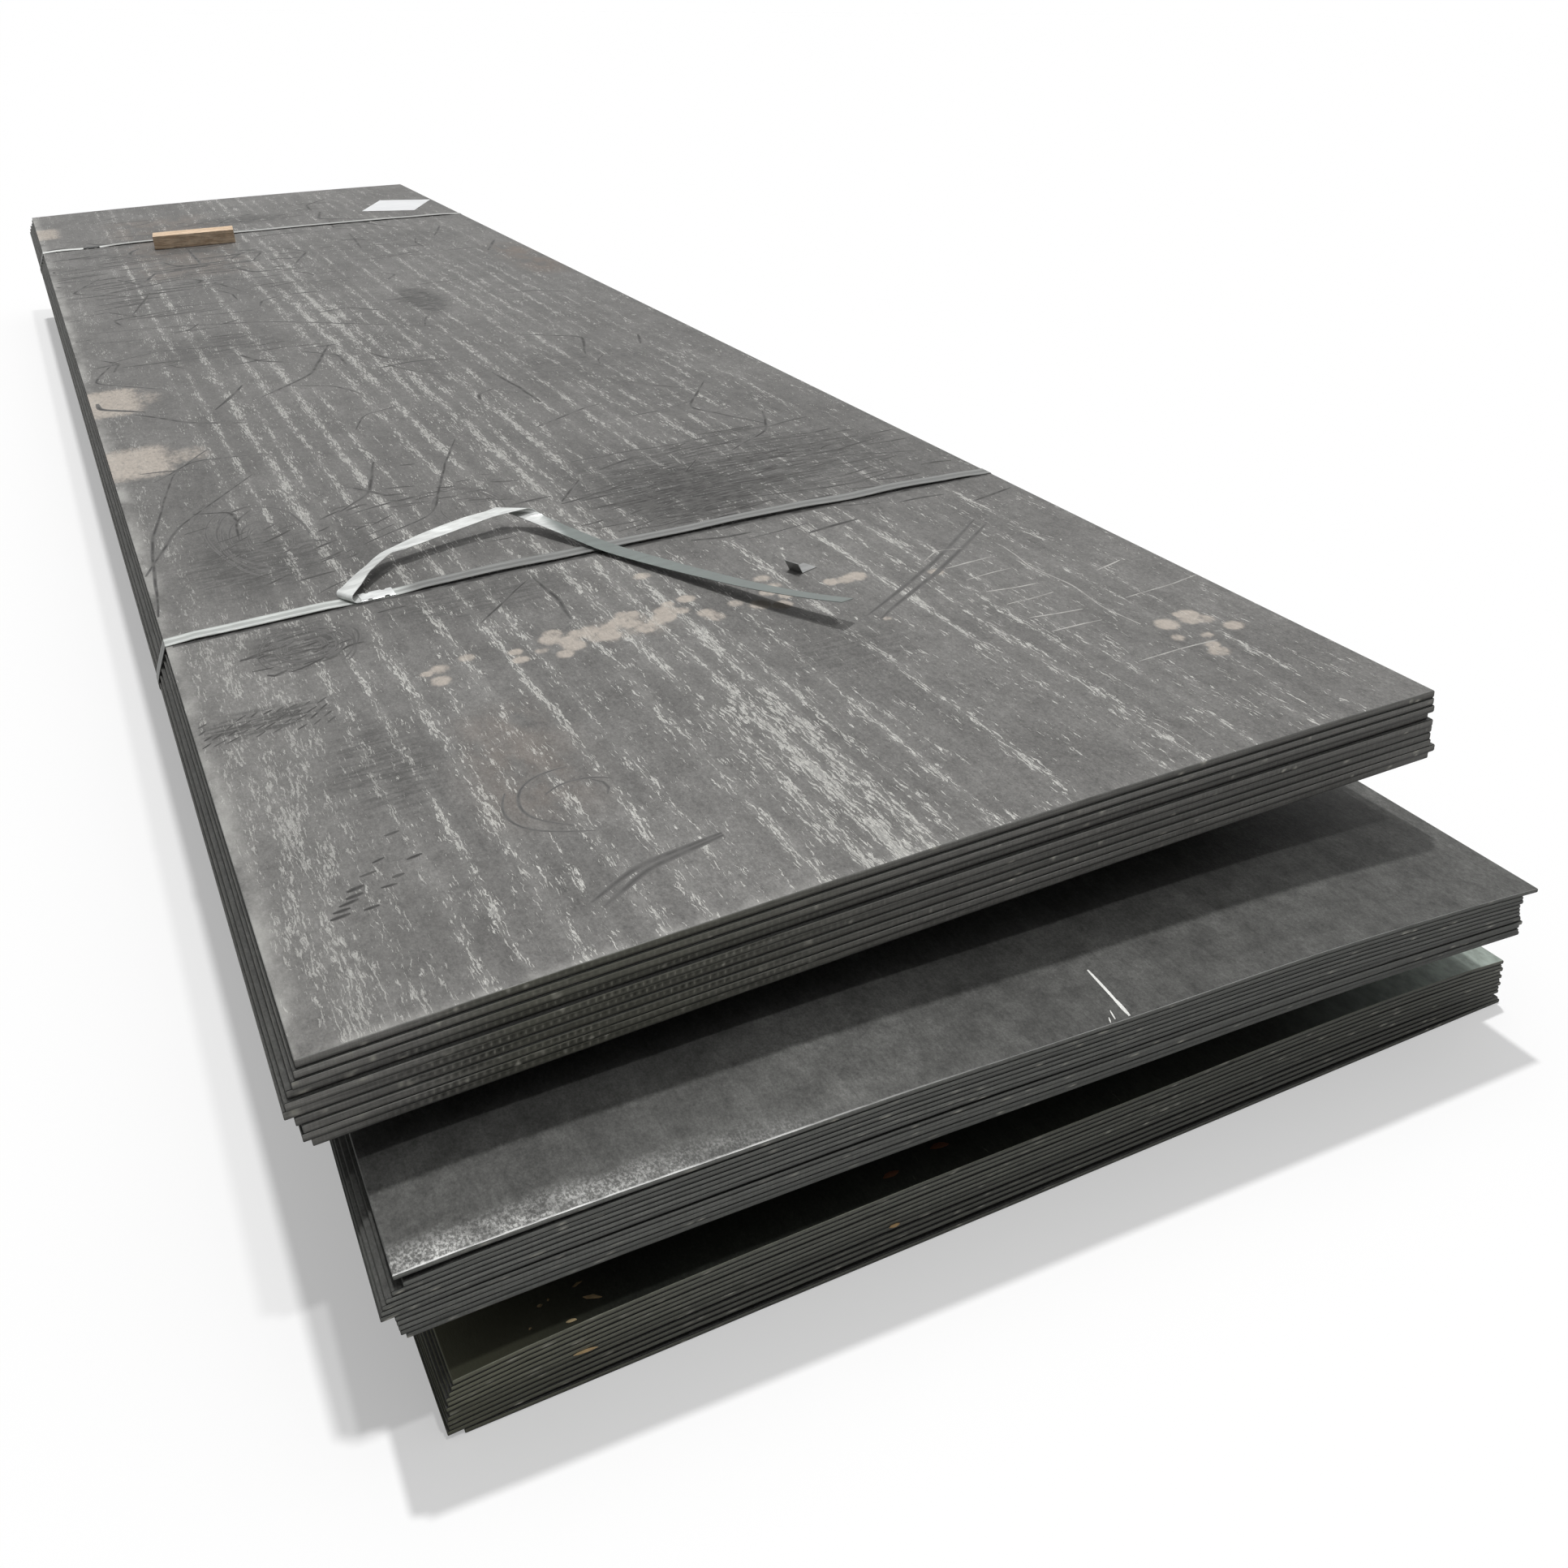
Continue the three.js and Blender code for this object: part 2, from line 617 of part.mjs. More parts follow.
// The bars lie on the highest part of the bottom bundle's crown.
let lowerSeat = 0;
overRectangle(0, 0, lowerTimberLength(), LOWER_TIMBER_WIDTH, (x) => {
  lowerSeat = Math.max(lowerSeat, topFace(BOTTOM_BUNDLE, x));
});
const barBase = lowerSeat + PLATE_CLEARANCE;
timberRows().forEach((_, index) => stack.add(makeLowerTimber(index, barBase)));

// The middle bundle comes down on the bars where its lower face is lowest.
const middleLowest = MIDDLE_BUNDLE.crowns.length - 1;
let middleDrop = Infinity;
for (const y of timberRows()) {
  overRectangle(0, y, lowerTimberLength(), LOWER_TIMBER_WIDTH, (x, pointY) => {
    const height = faceHeight(MIDDLE_BUNDLE, 0, 0, middleLowest, 0, x, pointY);
    middleDrop = Math.min(middleDrop, height);
  });
}
const middleBase = barBase + LOWER_TIMBER_HEIGHT + PLATE_CLEARANCE - middleDrop;
stack.add(makeBundle(MIDDLE_BUNDLE, middleBase, 0));

// The top bundle lies tilted on low blocks at its left and high blocks at its right.
const middleTop = bundleHeight(MIDDLE_BUNDLE);
const tiltRise = (PLATE_WIDTH / 2) * Math.sin(radians(TOP_TILT));
const topBase = middleBase + middleTop + LOW_SIDE_GAP + tiltRise;
const topLowest = TOP_BUNDLE.crowns.length - 1;
const floorAt = (x, y) => faceHeight(MIDDLE_BUNDLE, middleBase, 0, 0, middleTop, x, y);
const ceilingAt = (x, y) => faceHeight(TOP_BUNDLE, topBase, TOP_TILT, topLowest, 0, x, y);
const packerX = PLATE_WIDTH / 2 - PACKER_INSET - PACKER_WIDTH / 2;
timberRows().forEach((y, index) => {
  stack.add(makePacker(`low_packer_${index + 1}`, -packerX, y, floorAt, ceilingAt));
  stack.add(makePacker(`high_packer_${index + 1}`, packerX, y, floorAt, ceilingAt));
});

const topBundle = makeBundle(TOP_BUNDLE, topBase, TOP_TILT);
const seal = sealGeometry(wasm);
for (const strap of STRAPS) {
  topBundle.add(makeStrap(strap, TOP_BUNDLE));
  topBundle.add(makeSeal(strap, TOP_BUNDLE, seal));
}
topBundle.add(makeLooseEnd(TOP_BUNDLE));
topBundle.add(makeLooseSeal(TOP_BUNDLE));
topBundle.add(makeBlock(TOP_BUNDLE));
topBundle.add(makeCard(TOP_BUNDLE));
stack.add(topBundle);

// Puts the origin at the middle of the base.
stack.updateMatrixWorld(true);
const box = new THREE.Box3().setFromObject(stack, true);
const middle = box.getCenter(new THREE.Vector3());
stack.position.set(-middle.x, -middle.y, -box.min.z);

export default stack;
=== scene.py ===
"""The looks of a stack of hot-rolled steel plates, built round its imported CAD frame.

Plates are rebuilt with rolled-over, torn edges on the CAD's own sections. Lengths are in metres.
Each bundle of plates has its own frame: the origin is its top plate's front left corner, X runs
across the plates, Y along them and Z up from the level of that plate's long edges.
"""

import math
from functools import cached_property

import bmesh
import bpy
import numpy as np
from mathutils import Matrix, Vector


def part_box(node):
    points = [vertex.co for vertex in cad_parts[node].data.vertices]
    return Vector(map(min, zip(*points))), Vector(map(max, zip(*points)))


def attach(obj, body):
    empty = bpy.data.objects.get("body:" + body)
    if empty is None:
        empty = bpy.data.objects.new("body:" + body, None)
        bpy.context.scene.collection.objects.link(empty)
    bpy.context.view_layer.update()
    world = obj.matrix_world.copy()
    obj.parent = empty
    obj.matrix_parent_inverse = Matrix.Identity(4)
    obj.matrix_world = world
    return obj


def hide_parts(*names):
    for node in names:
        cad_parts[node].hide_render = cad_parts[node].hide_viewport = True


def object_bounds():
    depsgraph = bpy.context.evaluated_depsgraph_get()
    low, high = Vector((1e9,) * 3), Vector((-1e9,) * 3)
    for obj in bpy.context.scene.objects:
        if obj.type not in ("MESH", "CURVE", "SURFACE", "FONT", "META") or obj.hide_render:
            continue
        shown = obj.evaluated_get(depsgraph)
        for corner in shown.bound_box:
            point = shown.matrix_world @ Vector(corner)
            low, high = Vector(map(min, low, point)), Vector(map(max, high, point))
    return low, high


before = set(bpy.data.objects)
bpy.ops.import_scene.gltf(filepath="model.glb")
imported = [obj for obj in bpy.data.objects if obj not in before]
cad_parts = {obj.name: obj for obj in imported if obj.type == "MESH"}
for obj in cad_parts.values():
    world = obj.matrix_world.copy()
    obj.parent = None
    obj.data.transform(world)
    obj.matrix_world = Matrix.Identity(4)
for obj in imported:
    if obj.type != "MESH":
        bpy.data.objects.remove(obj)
cad_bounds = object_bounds()

SEED = 4107
WIDTH = 1.5
LENGTH = 6.0
MERGE = 1e-6  # CAD points closer than this are one point


def rng(*key):
    """A random source that is the same each run for the same key."""
    return np.random.default_rng([SEED, *key])


# ---- the bundles' frames

BUNDLES = {
    "top": {"plates": 10, "yaw": -0.44, "tilt": 2.6},
    "middle": {"plates": 12, "yaw": -1.64, "tilt": 0.0},
    "bottom": {"plates": 12, "yaw": 0.0, "tilt": 0.0},
}
EDGE_REACH = 0.0015  # a plate's long edge lies within this of its outermost point


def node_name(bundle, row):
    return f"{bundle}_bundle_plate_{row + 1:02d}"


def vertices_of(node):
    return np.array([v.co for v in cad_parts[node].data.vertices], float)


def bundle_frame(bundle):
    """The matrix from a bundle's frame to the row frame."""
    spec = BUNDLES[bundle]
    turn = Matrix.Rotation(math.radians(spec["yaw"]), 3, "Z")
    turn = turn @ Matrix.Rotation(-math.radians(spec["tilt"]), 3, "Y")
    local = vertices_of(node_name(bundle, 0)) @ np.array(turn)
    left, front = local[:, 0].min(), local[:, 1].min()
    at_edge = (local[:, 0] < left + EDGE_REACH) & (local[:, 1] > front + LENGTH / 2)
    corner = turn @ Vector((left, front, local[at_edge, 2].max()))
    return Matrix.Translation(corner) @ turn.to_4x4()


FRAMES = {name: bundle_frame(name) for name in BUNDLES}


def in_frame(bundle, points):
    """Points of the row frame, in the bundle's frame."""
    back = np.array(FRAMES[bundle].inverted())
    return points @ back[:3, :3].T + back[:3, 3]


def new_object(name, data):
    made = bpy.data.objects.new(name, data)
    bpy.context.scene.collection.objects.link(made)
    return made


def add_piece(name, mesh, bundle, stands_for):
    piece = new_object(name, mesh)
    if bundle:
        piece.matrix_world = FRAMES[bundle]
    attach(piece, "root")
    if stands_for:
        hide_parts(*stands_for)


# ---- camera and lights

# The camera's place and axes in the top bundle's frame, solved from that plate's four corners.
CAMERA_PLACE = (-0.05313, -1.27134, 0.94595)
CAMERA_RIGHT = (0.878026, -0.477961, -0.024953)
CAMERA_UP = (0.22146, 0.359502, 0.906484)
CAMERA_BACK = (-0.424294, -0.801443, 0.421502)
FOCAL_SHARE = 0.97236  # focal length as a share of the frame's width
CENTRE_SHARE = (0.050207, 0.085921)  # the optical axis from the frame's middle, right and up
SENSOR = 36  # in millimetres
CLIP_END = 200
SUN_SPREAD = 3  # degrees


def make_camera():
    data = bpy.data.cameras.new("camera")
    data.sensor_width = SENSOR
    data.lens = SENSOR * FOCAL_SHARE
    data.shift_x = -CENTRE_SHARE[0]
    data.shift_y = -CENTRE_SHARE[1]
    data.clip_end = CLIP_END
    camera = new_object("camera", data)
    axes = Matrix((CAMERA_RIGHT, CAMERA_UP, CAMERA_BACK)).transposed()
    local = Matrix.Translation(CAMERA_PLACE) @ axes.to_4x4()
    camera.matrix_world = FRAMES["top"] @ local
    bpy.context.scene.camera = camera


def sun(name, azimuth, elevation, strength):
    """A distant soft light that comes from that direction, in degrees, with azimuth 0 in front."""
    data = bpy.data.lights.new(name, "SUN")
    data.energy = strength
    data.angle = math.radians(SUN_SPREAD)
    turn, rise = math.radians(azimuth), math.radians(elevation)
    towards = Vector((math.sin(turn) * math.cos(rise), -math.cos(turn) * math.cos(rise), math.sin(rise)))
    new_object(name, data).rotation_euler = towards.to_track_quat("Z", "Y").to_euler()


# ---- node helpers


class Nodes:
    """Short names for building the nodes of one material or world."""

    def __init__(self, name="", owner=None):
        owner = owner or bpy.data.materials.new(name)
        owner.use_nodes = True
        self.owner = owner
        self.tree = owner.node_tree
        self.tree.nodes.clear()

    def add(self, kind, inputs=None, **settings):
        """Adds a node whose inputs are values or sockets, and gives its outputs."""
        node = self.tree.nodes.new(kind)
        for name, value in settings.items():
            setattr(node, name, value)
        for name, value in (inputs or {}).items():
            if isinstance(value, bpy.types.NodeSocket):
                self.tree.links.new(value, node.inputs[name])
            else:
                node.inputs[name].default_value = value
        return node.outputs

    @cached_property
    def place(self):
        """The place on the piece, in its own frame."""
        return self.add("ShaderNodeTexCoord")["Object"]

    @cached_property
    def axes(self):
        return self.add("ShaderNodeSeparateXYZ", {0: self.place})

    def attribute(self, name, output="Fac"):
        return self.add("ShaderNodeAttribute", attribute_name=name)[output]

    def math(self, operation, value, *others):
        """The value after that operation with each of the others in turn."""
        for other in others:
            value = self.add("ShaderNodeMath", {0: value, 1: other}, operation=operation)[0]
        return value

    def product(self, *values):
        return self.math("MULTIPLY", *values)

    def total(self, *values):
        return self.math("ADD", *values)

    def most(self, *values):
        return self.math("MAXIMUM", *values)

    def between(self, value, low, high, to_low=0.0, to_high=1.0, smooth=True):
        """A level that goes from to_low to to_high as the value goes from low to high."""
        inputs = {"Value": value, "From Min": low, "From Max": high, "To Min": to_low, "To Max": to_high}
        kind = "SMOOTHSTEP" if smooth else "LINEAR"
        return self.add("ShaderNodeMapRange", inputs, interpolation_type=kind)[0]

    def noise(self, scale, detail=3, roughness=0.55, shift=0, place=None, distortion=0):
        """Noise whose grain measures scale = (x, y, z) metres."""
        inputs = {"Vector": place or self.place, "Scale": [1 / s for s in scale],
                  "Location": [shift, shift / 2, shift / 3]}
        inputs = {"Vector": self.add("ShaderNodeMapping", inputs)[0], "Scale": 1, "Detail": detail,
                  "Roughness": roughness, "Distortion": distortion}
        return self.add("ShaderNodeTexNoise", inputs)[0]

    def moved(self, push):
        return self.add("ShaderNodeVectorMath", {0: self.place, 1: push}, operation="ADD")[0]

    def warped(self, reach):
        """The place, pushed about by noise of that reach in metres."""
        push = self.add("ShaderNodeTexNoise", {"Vector": self.place, "Scale": 9, "Detail": 3})["Color"]
        return self.moved(self.add("ShaderNodeVectorMath", {0: push, 3: reach}, operation="SCALE")[0])

    def mix(self, factor, a, b, blend_type="MIX"):
        inputs = {0: factor, 6: a, 7: b}
        return self.add("ShaderNodeMix", inputs, data_type="RGBA", blend_type=blend_type)[2]

    def over(self, color, tint, *shares):
        """The colour with the tint laid over it by the product of the shares."""
        return self.mix(self.product(*shares), color, tint)

    def grey(self, level):
        return self.add("ShaderNodeCombineColor", {0: level, 1: level, 2: level})[0]

    def shaded(self, color, *shades):
        """The colour times greys. Each shade is a value and its grey levels at 0.25 and 0.75."""
        for value, low, high in shades:
            level = self.between(value, 0.25, 0.75, low, high, smooth=False)
            color = self.mix(1, color, self.grey(level), "MULTIPLY")
        return color

    def seen_by(self, *kinds):
        """1 for rays of those kinds, 0 for the others."""
        path = self.add("ShaderNodeLightPath")
        return self.most(*(path[f"Is {kind} Ray"] for kind in kinds))

    def principled(self, sockets):
        shader = self.add("ShaderNodeBsdfPrincipled", sockets)[0]
        self.add("ShaderNodeOutputMaterial", {"Surface": shader})
        return self.owner

    def surface(self, color, roughness, specular, bump, metallic=0):
        """The finished material. A bump is its height, distance in metres and strength."""
        bump = self.add("ShaderNodeBump", dict(zip(("Height", "Distance", "Strength"), bump)))[0]
        return self.principled({
            "Base Color": color, "Roughness": roughness, "Specular IOR Level": specular,
            "Metallic": metallic, "Normal": bump,
        })


def srgb(red, green, blue):
    """A linear colour from the 0 to 255 numbers of a screen colour."""
    def channel(value):
        value /= 255
        return value / 12.92 if value <= 0.04045 else ((value + 0.055) / 1.055) ** 2.4
    return (channel(red), channel(green), channel(blue), 1.0)


# ---- the plates' materials

SIDE_SHADE = -0.7  # the chip and shade level of a plate's long sides: painted shade that makes them darker than its ends


def plate_material(name, base, streak, scatter, kind=""):
    """Mill scale with grain along the plate, pale flecks where the streak paint is, and stains, with painted
    light and shade on some kinds of face.
    """
    n = Nodes(name)
    across, along, _ = n.axes
    tone = n.noise((0.3, 0.8, 0.3), 4)
    blotch = n.noise((0.06, 0.13, 0.1), 4, 0.6, 13)
    grain = n.noise((0.004, 0.25, 0.02), shift=3)
    pits = n.noise((0.005, 0.009, 0.02), 5, 0.75, 7)
    mottle = n.noise((0.018, 0.03, 0.02), 4, 0.65, 15)
    grit = n.noise((0.0022, 0.0034, 0.02), 3, 0.7, 19)
    color = n.shaded(base, (tone, 0.8, 1.18), (blotch, 0.8, 1.2), (mottle, 0.84, 1.16),
                     (grain, 0.92, 1.08), (pits, 0.68, 1.3), (grit, 0.72, 1.28))

    density = n.attribute("streak")
    cluster = n.noise((0.016, 0.11, 0.05), 2, shift=17)
    warp = n.noise((0.014, 0.03, 0.05), 3, 0.6, 1)
    wave = n.product(warp, n.between(along, 1.5, 3.5, 0.011, 0.004))
    waved = n.moved(n.add("ShaderNodeCombineXYZ", {0: wave})[0])
    fleck = n.noise((0.0029, 0.03, 0.05), 5, 0.72, place=waved)
    level = n.total(fleck, n.product(density, 0.2), n.product(cluster, 0.42), scatter)
    flecks = n.product(n.between(level, 0.92, 0.955), n.between(level, 0.98, 1.05, 1.0, 0.28))
    if kind == "upmost":
        flecks = n.product(flecks, n.between(across, 0.12, 0.27, 0.6, 1.0))
    shine = n.noise((0.003, 0.01, 0.02), 2, shift=11)
    rim = n.product(n.between(level, 0.915, 0.94), n.between(level, 0.985, 0.95))
    bright = n.shaded(streak, (shine, 0.78, 1.12), (rim, 0.98, 1.16))
    color = n.over(color, bright, flecks, 0.85)
    color = n.over(color, streak, n.math("MINIMUM", density, 1.0), 0.12)

    if kind == "upmost":
        # painted light: the top face is a little brighter in front of the front strap and darker behind it
        color = n.shaded(color, (n.between(along, 0.9, 1.25, 0.75, 0.25), 0.93, 1.07))
        # wear with a painted highlight: paler along the front edge, fading to the right, and along the left
        # edge
        corner = n.product(n.between(along, 0.02, 0.0), n.between(across, 1.1, 0.0))
        wear_and_highlight = n.most(corner, n.between(across, 0.035, 0.0))
        color = n.over(color, streak, wear_and_highlight, n.between(blotch, 0.3, 0.7, 0.1, 1.0), 0.42)
    # painted light on the bottom bundle's top face: a pale pool at its right end and a paler olive patch at
    # its left end
    if kind == "lowest":
        pale = n.between(mottle, 0.3, 0.7, 0.6, 1.0)
        color = n.over(color, srgb(168, 178, 170), n.between(across, 1.05, 1.38), pale, 0.9)
        color = n.over(color, srgb(100, 100, 82), n.between(across, 0.2, 0.04), 0.6)
    if kind == "ledge":
        chips = n.noise((0.0026, 0.0042, 0.02), 4, 0.7, 21)
        clumps = n.noise((0.035, 0.018, 0.02), 3, 0.6, 23)
        near_edge = n.between(n.total(along, n.product(clumps, 0.06)), 0.078, 0.038)
        color = n.over(color, srgb(206, 206, 203), near_edge, n.between(across, 0.52, 0.1),
                       n.between(clumps, 0.35, 0.6, 0.35, 1.0), n.between(chips, 0.42, 0.62, 0.15, 1.0))
        # painted highlight: a bright line along the middle bundle's front edge, fading to the right
        lip_highlight = n.product(n.between(along, 0.003, 0.0018), n.between(across, 0.75, 0.15))
        color = n.over(color, srgb(236, 236, 234), lip_highlight, n.between(clumps, 0.35, 0.6, 0.4, 1.0), 0.85)
        cells = n.add("ShaderNodeTexVoronoi", {"Vector": n.warped(0.05), "Scale": 14},
                      feature="DISTANCE_TO_EDGE")
        vein = n.between(cells["Distance"], 0.035, 0.0)
        color = n.over(color, srgb(58, 58, 57), vein, n.between(tone, 0.45, 0.6), 0.16)
        color = n.shaded(color, (n.noise((0.045, 0.04, 0.05), 6, 0.68, 31), 0.7, 1.3))
        holes = n.noise((0.006, 0.011, 0.02), 3, 0.65, 27)
        color = n.over(color, srgb(46, 46, 46), n.between(holes, 0.73, 0.82))

    drop, scuff, rust = n.add("ShaderNodeSeparateColor", {0: n.attribute("paint", "Color")})
    smear = n.noise((0.05, 0.008, 0.03), 4, 0.65, 5)
    color = n.over(color, srgb(50, 50, 49), scuff, n.between(smear, 0.42, 0.58, 0.2, 1.0), 0.85)
    color = n.over(color, srgb(120, 98, 80), rust, n.between(blotch, 0.35, 0.6), 0.5)
    crumbs = n.noise((0.01, 0.022, 0.02), 5, 0.7, 9)
    broken = n.total(drop, n.product(n.math("SUBTRACT", crumbs, 0.5), 1.5))
    dried = n.product(n.between(broken, 0.1, 0.9), n.between(drop, 0.05, 0.7))
    color = n.over(color, n.shaded(srgb(208, 198, 187), (pits, 0.8, 1.2)), dried, 0.68)
    rough = n.total(n.between(flecks, 0, 1, 0.6, 0.48), n.product(dried, 0.25))
    height = n.total(n.product(flecks, -0.6), pits, n.product(grain, 0.25), n.product(dried, 0.5))
    metal = n.product(n.math("SUBTRACT", 1.0, dried), 0.3)
    return n.surface(color, rough, 0.12, (height, 0.0006, 0.7), metal)


def edge_material(name, base, tint, tint_from, tint_to):
    """A sheared plate edge: drag lines across the thickness, dark scale and an olive tint, with painted
    shade towards the underside, on the long sides and in tooth troughs, and darker towards the right.
    """
    n = Nodes(name)
    across = n.axes[0]
    lines = n.noise((0.0022, 0.02, 0.03))
    blotch = n.noise((0.05, 0.05, 0.008), 5, 0.7, 4)
    streaks = n.noise((0.03, 0.03, 0.0012), 4, 0.6, 6)
    long = n.noise((0.4, 0.4, 0.002), shift=2)
    color = n.shaded(base, (blotch, 0.72, 1.3), (lines, 0.86, 1.14), (long, 0.8, 1.2),
                     (streaks, 0.74, 1.26))
    tinted = n.between(across, tint_from, tint_from + 0.15)
    color = n.over(color, n.shaded(tint, (blotch, 0.7, 1.3)), tinted,
                   n.between(across, tint_to + 0.5, tint_to), 0.6)
    # painted shade: each plate's end darkens towards its underside, most at plates with the darkest groove
    shade_below = n.product(n.between(n.attribute("depth"), 0.45, 0.9),
                      n.math("SUBTRACT", 1.1, n.attribute("seam_shade")))
    # chip and shade level: above 0 it gives bright chips, below 0 painted shade on the long sides and in
    # tooth troughs
    chip_and_shade = n.attribute("chip_and_shade")
    # painted shade: the second of these makes the ends darker from left to right
    color = n.shaded(color, (n.attribute("tone"), 0.8, 1.2),
                     (n.between(across, 0.0, 1.4, 0.72, 0.28), 0.76, 1.12),
                     (n.between(shade_below, 0.0, 1.0, 0.25, 0.75, smooth=False), 1.0, 0.12),
                     (n.between(chip_and_shade, -1.0, 0.0, 0.25, 0.75, smooth=False), 0.3, 1.0))
    color = n.over(color, srgb(204, 202, 190), n.most(chip_and_shade, 0.0))
    outside_painted_shade = n.between(chip_and_shade, SIDE_SHADE, SIDE_SHADE + 0.2, smooth=False)
    specular = n.between(outside_painted_shade, 0.0, 1.0, 0.03, 0.3, smooth=False)
    height = n.total(n.product(lines, 0.6), n.product(blotch, 0.8))
    rough = n.between(blotch, 0.3, 0.7, 0.5, 0.66)
    return n.surface(color, rough, specular, (height, 0.0003, 0.6), n.product(outside_painted_shade, 0.3))


def seam_shade_material(name, dark, pale):
    """Painted shade in the groove between two plates: nearly black at some plates, faint at others."""
    n = Nodes(name)
    dirt = n.noise((0.09, 0.05, 0.02), 4, 0.65)
    level = n.total(n.attribute("seam_shade"), n.product(dirt, 0.6))
    color = n.mix(n.between(level, 0.45, 1.25), dark, pale)
    return n.surface(color, n.between(dirt, 0.3, 0.7, 0.6, 0.8), 0.2, (dirt, 0.0003, 0.5), 0.1)


# ---- the plates' shapes

ROLLOVER = {"top": 0.0011, "middle": 0.0008, "bottom": 0.0008}
# A plate's end in rows from its top down: share of the thickness, share of the rollover.
END_DEPTHS = np.array([0, 0.07, 0.14, 0.28, 0.42, 0.58, 0.73, 0.86, 0.93, 1])
END_ROLLS = np.array([1, 0.4, 0.1, 0, 0.02, 0.03, 0, 0.2, 0.5, 1])
WINDOW = np.sin(np.pi * END_DEPTHS) ** 0.7  # relief fades out at an end's top and bottom
SHOULDER = 0.006  # from a plate's end to where its faces' own grid starts
SPRUNG = {"height": 0.0055, "reach": 0.42, "steepness": 5, "stations": 9}
TOOTH_PITCH = 0.0088
TOOTHED = (0.05, 0.62)  # the part of the top bundle's front that has tooth marks
TOOTHED_STEPS = (0.004, 0.0018, 0.0036)  # between columns before, along and after it
END_STEPS = {"top": 0.0045, "middle": 0.006, "bottom": 0.006}  # between other ends' columns
FACE_COLUMNS = {"upmost": 300, "other": 24, "underside": 20}
LIGHT_ROWS = 6  # the bottom bundle's upper plates are paler than its lower ones
PLATE_CORNER = 38  # degrees, past which a plate's corner is shaded sharp
DENTS, CHIPS = 7, 9  # on each torn end
WORN_TEETH = 3  # the top bundle's upper plates have faint tooth marks
SAME_PLACE = 1e-4  # points of a section closer than this across lie in one column
END_ZONE = 0.03  # a plate's end points lie within this of its outermost one
FACE, EDGE, SEAM_SHADE, LIP_HIGHLIGHT = range(4)


def smooth_noise(source, x, pitch):
    """Smooth random values from -1 to 1 along x, with about one swing per two pitches."""
    knots = source.uniform(-1, 1, int((x.max() - x.min()) / pitch) + 4)
    at = (x - x.min()) / pitch
    low = at.astype(int)
    share = at - low
    share = share * share * (3 - 2 * share)
    return knots[low] * (1 - share) + knots[low + 1] * share


def bell(x, middle, half_width):
    return np.exp(-(((x - middle) / half_width) ** 2))


def ramp(x, low, high):
    share = np.clip((x - low) / (high - low), 0, 1)
    return share * share * (3 - 2 * share)


def set_values(mesh, name, values):
    mesh.attributes.new(name, "FLOAT", "POINT").data.foreach_set("value", values)


def smooth(mesh, corner):
    """Smooth shading, but for corners sharper than that many degrees."""
    mesh.polygons.foreach_set("use_smooth", [True] * len(mesh.polygons))
    mesh.set_sharp_from_angle(angle=math.radians(corner))


def window(x, *edges):
    """1 inside, with a soft rise between the first two edges and a fall between the last two."""
    return ramp(x, *edges[:2]) * (1 - ramp(x, *edges[2:]))


class Plate:
    """One plate's outline and section, read from its CAD node, in its bundle's frame."""

    def __init__(self, bundle, row):
        self.bundle, self.row = bundle, row
        self.node = node_name(bundle, row)
        self.sprung = bundle == "middle" and row == 0
        points = in_frame(bundle, vertices_of(self.node))
        near, far = points[:, 1].min(), points[:, 1].max()
        back = points[points[:, 1] > (near + far) / 2]
        x = np.sort(back[:, 0])
        self.x = x[np.diff(x, prepend=-np.inf) > SAME_PLACE]
        groups = [back[np.abs(back[:, 0] - value) < SAME_PLACE, 2] for value in self.x]
        self.tops = np.array([group.max() for group in groups])
        self.bottoms = np.array([group.min() for group in groups])
        self.left, self.right = self.x[0], self.x[-1]
        self.fronts = self.end_line(points[points[:, 1] < near + END_ZONE])
        self.backs = self.end_line(points[points[:, 1] > far - END_ZONE])

    def source(self, purpose, *key):
        return rng(purpose, sum(map(ord, self.bundle)), self.row, *key)

    def end_line(self, points):
        return (points[points[:, 0].argmin(), 1], points[points[:, 0].argmax(), 1])

    def end(self, x, at_front):
        first, last = self.fronts if at_front else self.backs
        return first + (last - first) * ((x - self.left) / (self.right - self.left))

    def along(self, x, share):
        return self.end(x, True) * (1 - share) + self.end(x, False) * share

    def lift(self, x, y):
        if not self.sprung:
            return 0 * x
        from_right = np.clip(1 - x / WIDTH, 0, 1)
        from_front = np.clip((y - self.fronts[0]) / SPRUNG["reach"], 0, 1)
        return SPRUNG["height"] * from_right ** SPRUNG["steepness"] * (1 - from_front) ** 2

    def height(self, x, y, depth=0.0):
        """The height at x, y of the face, or of a share of the thickness below it."""
        top = np.interp(x, self.x, self.tops)
        bottom = np.interp(x, self.x, self.bottoms)
        return top + (bottom - top) * depth + self.lift(x, y)


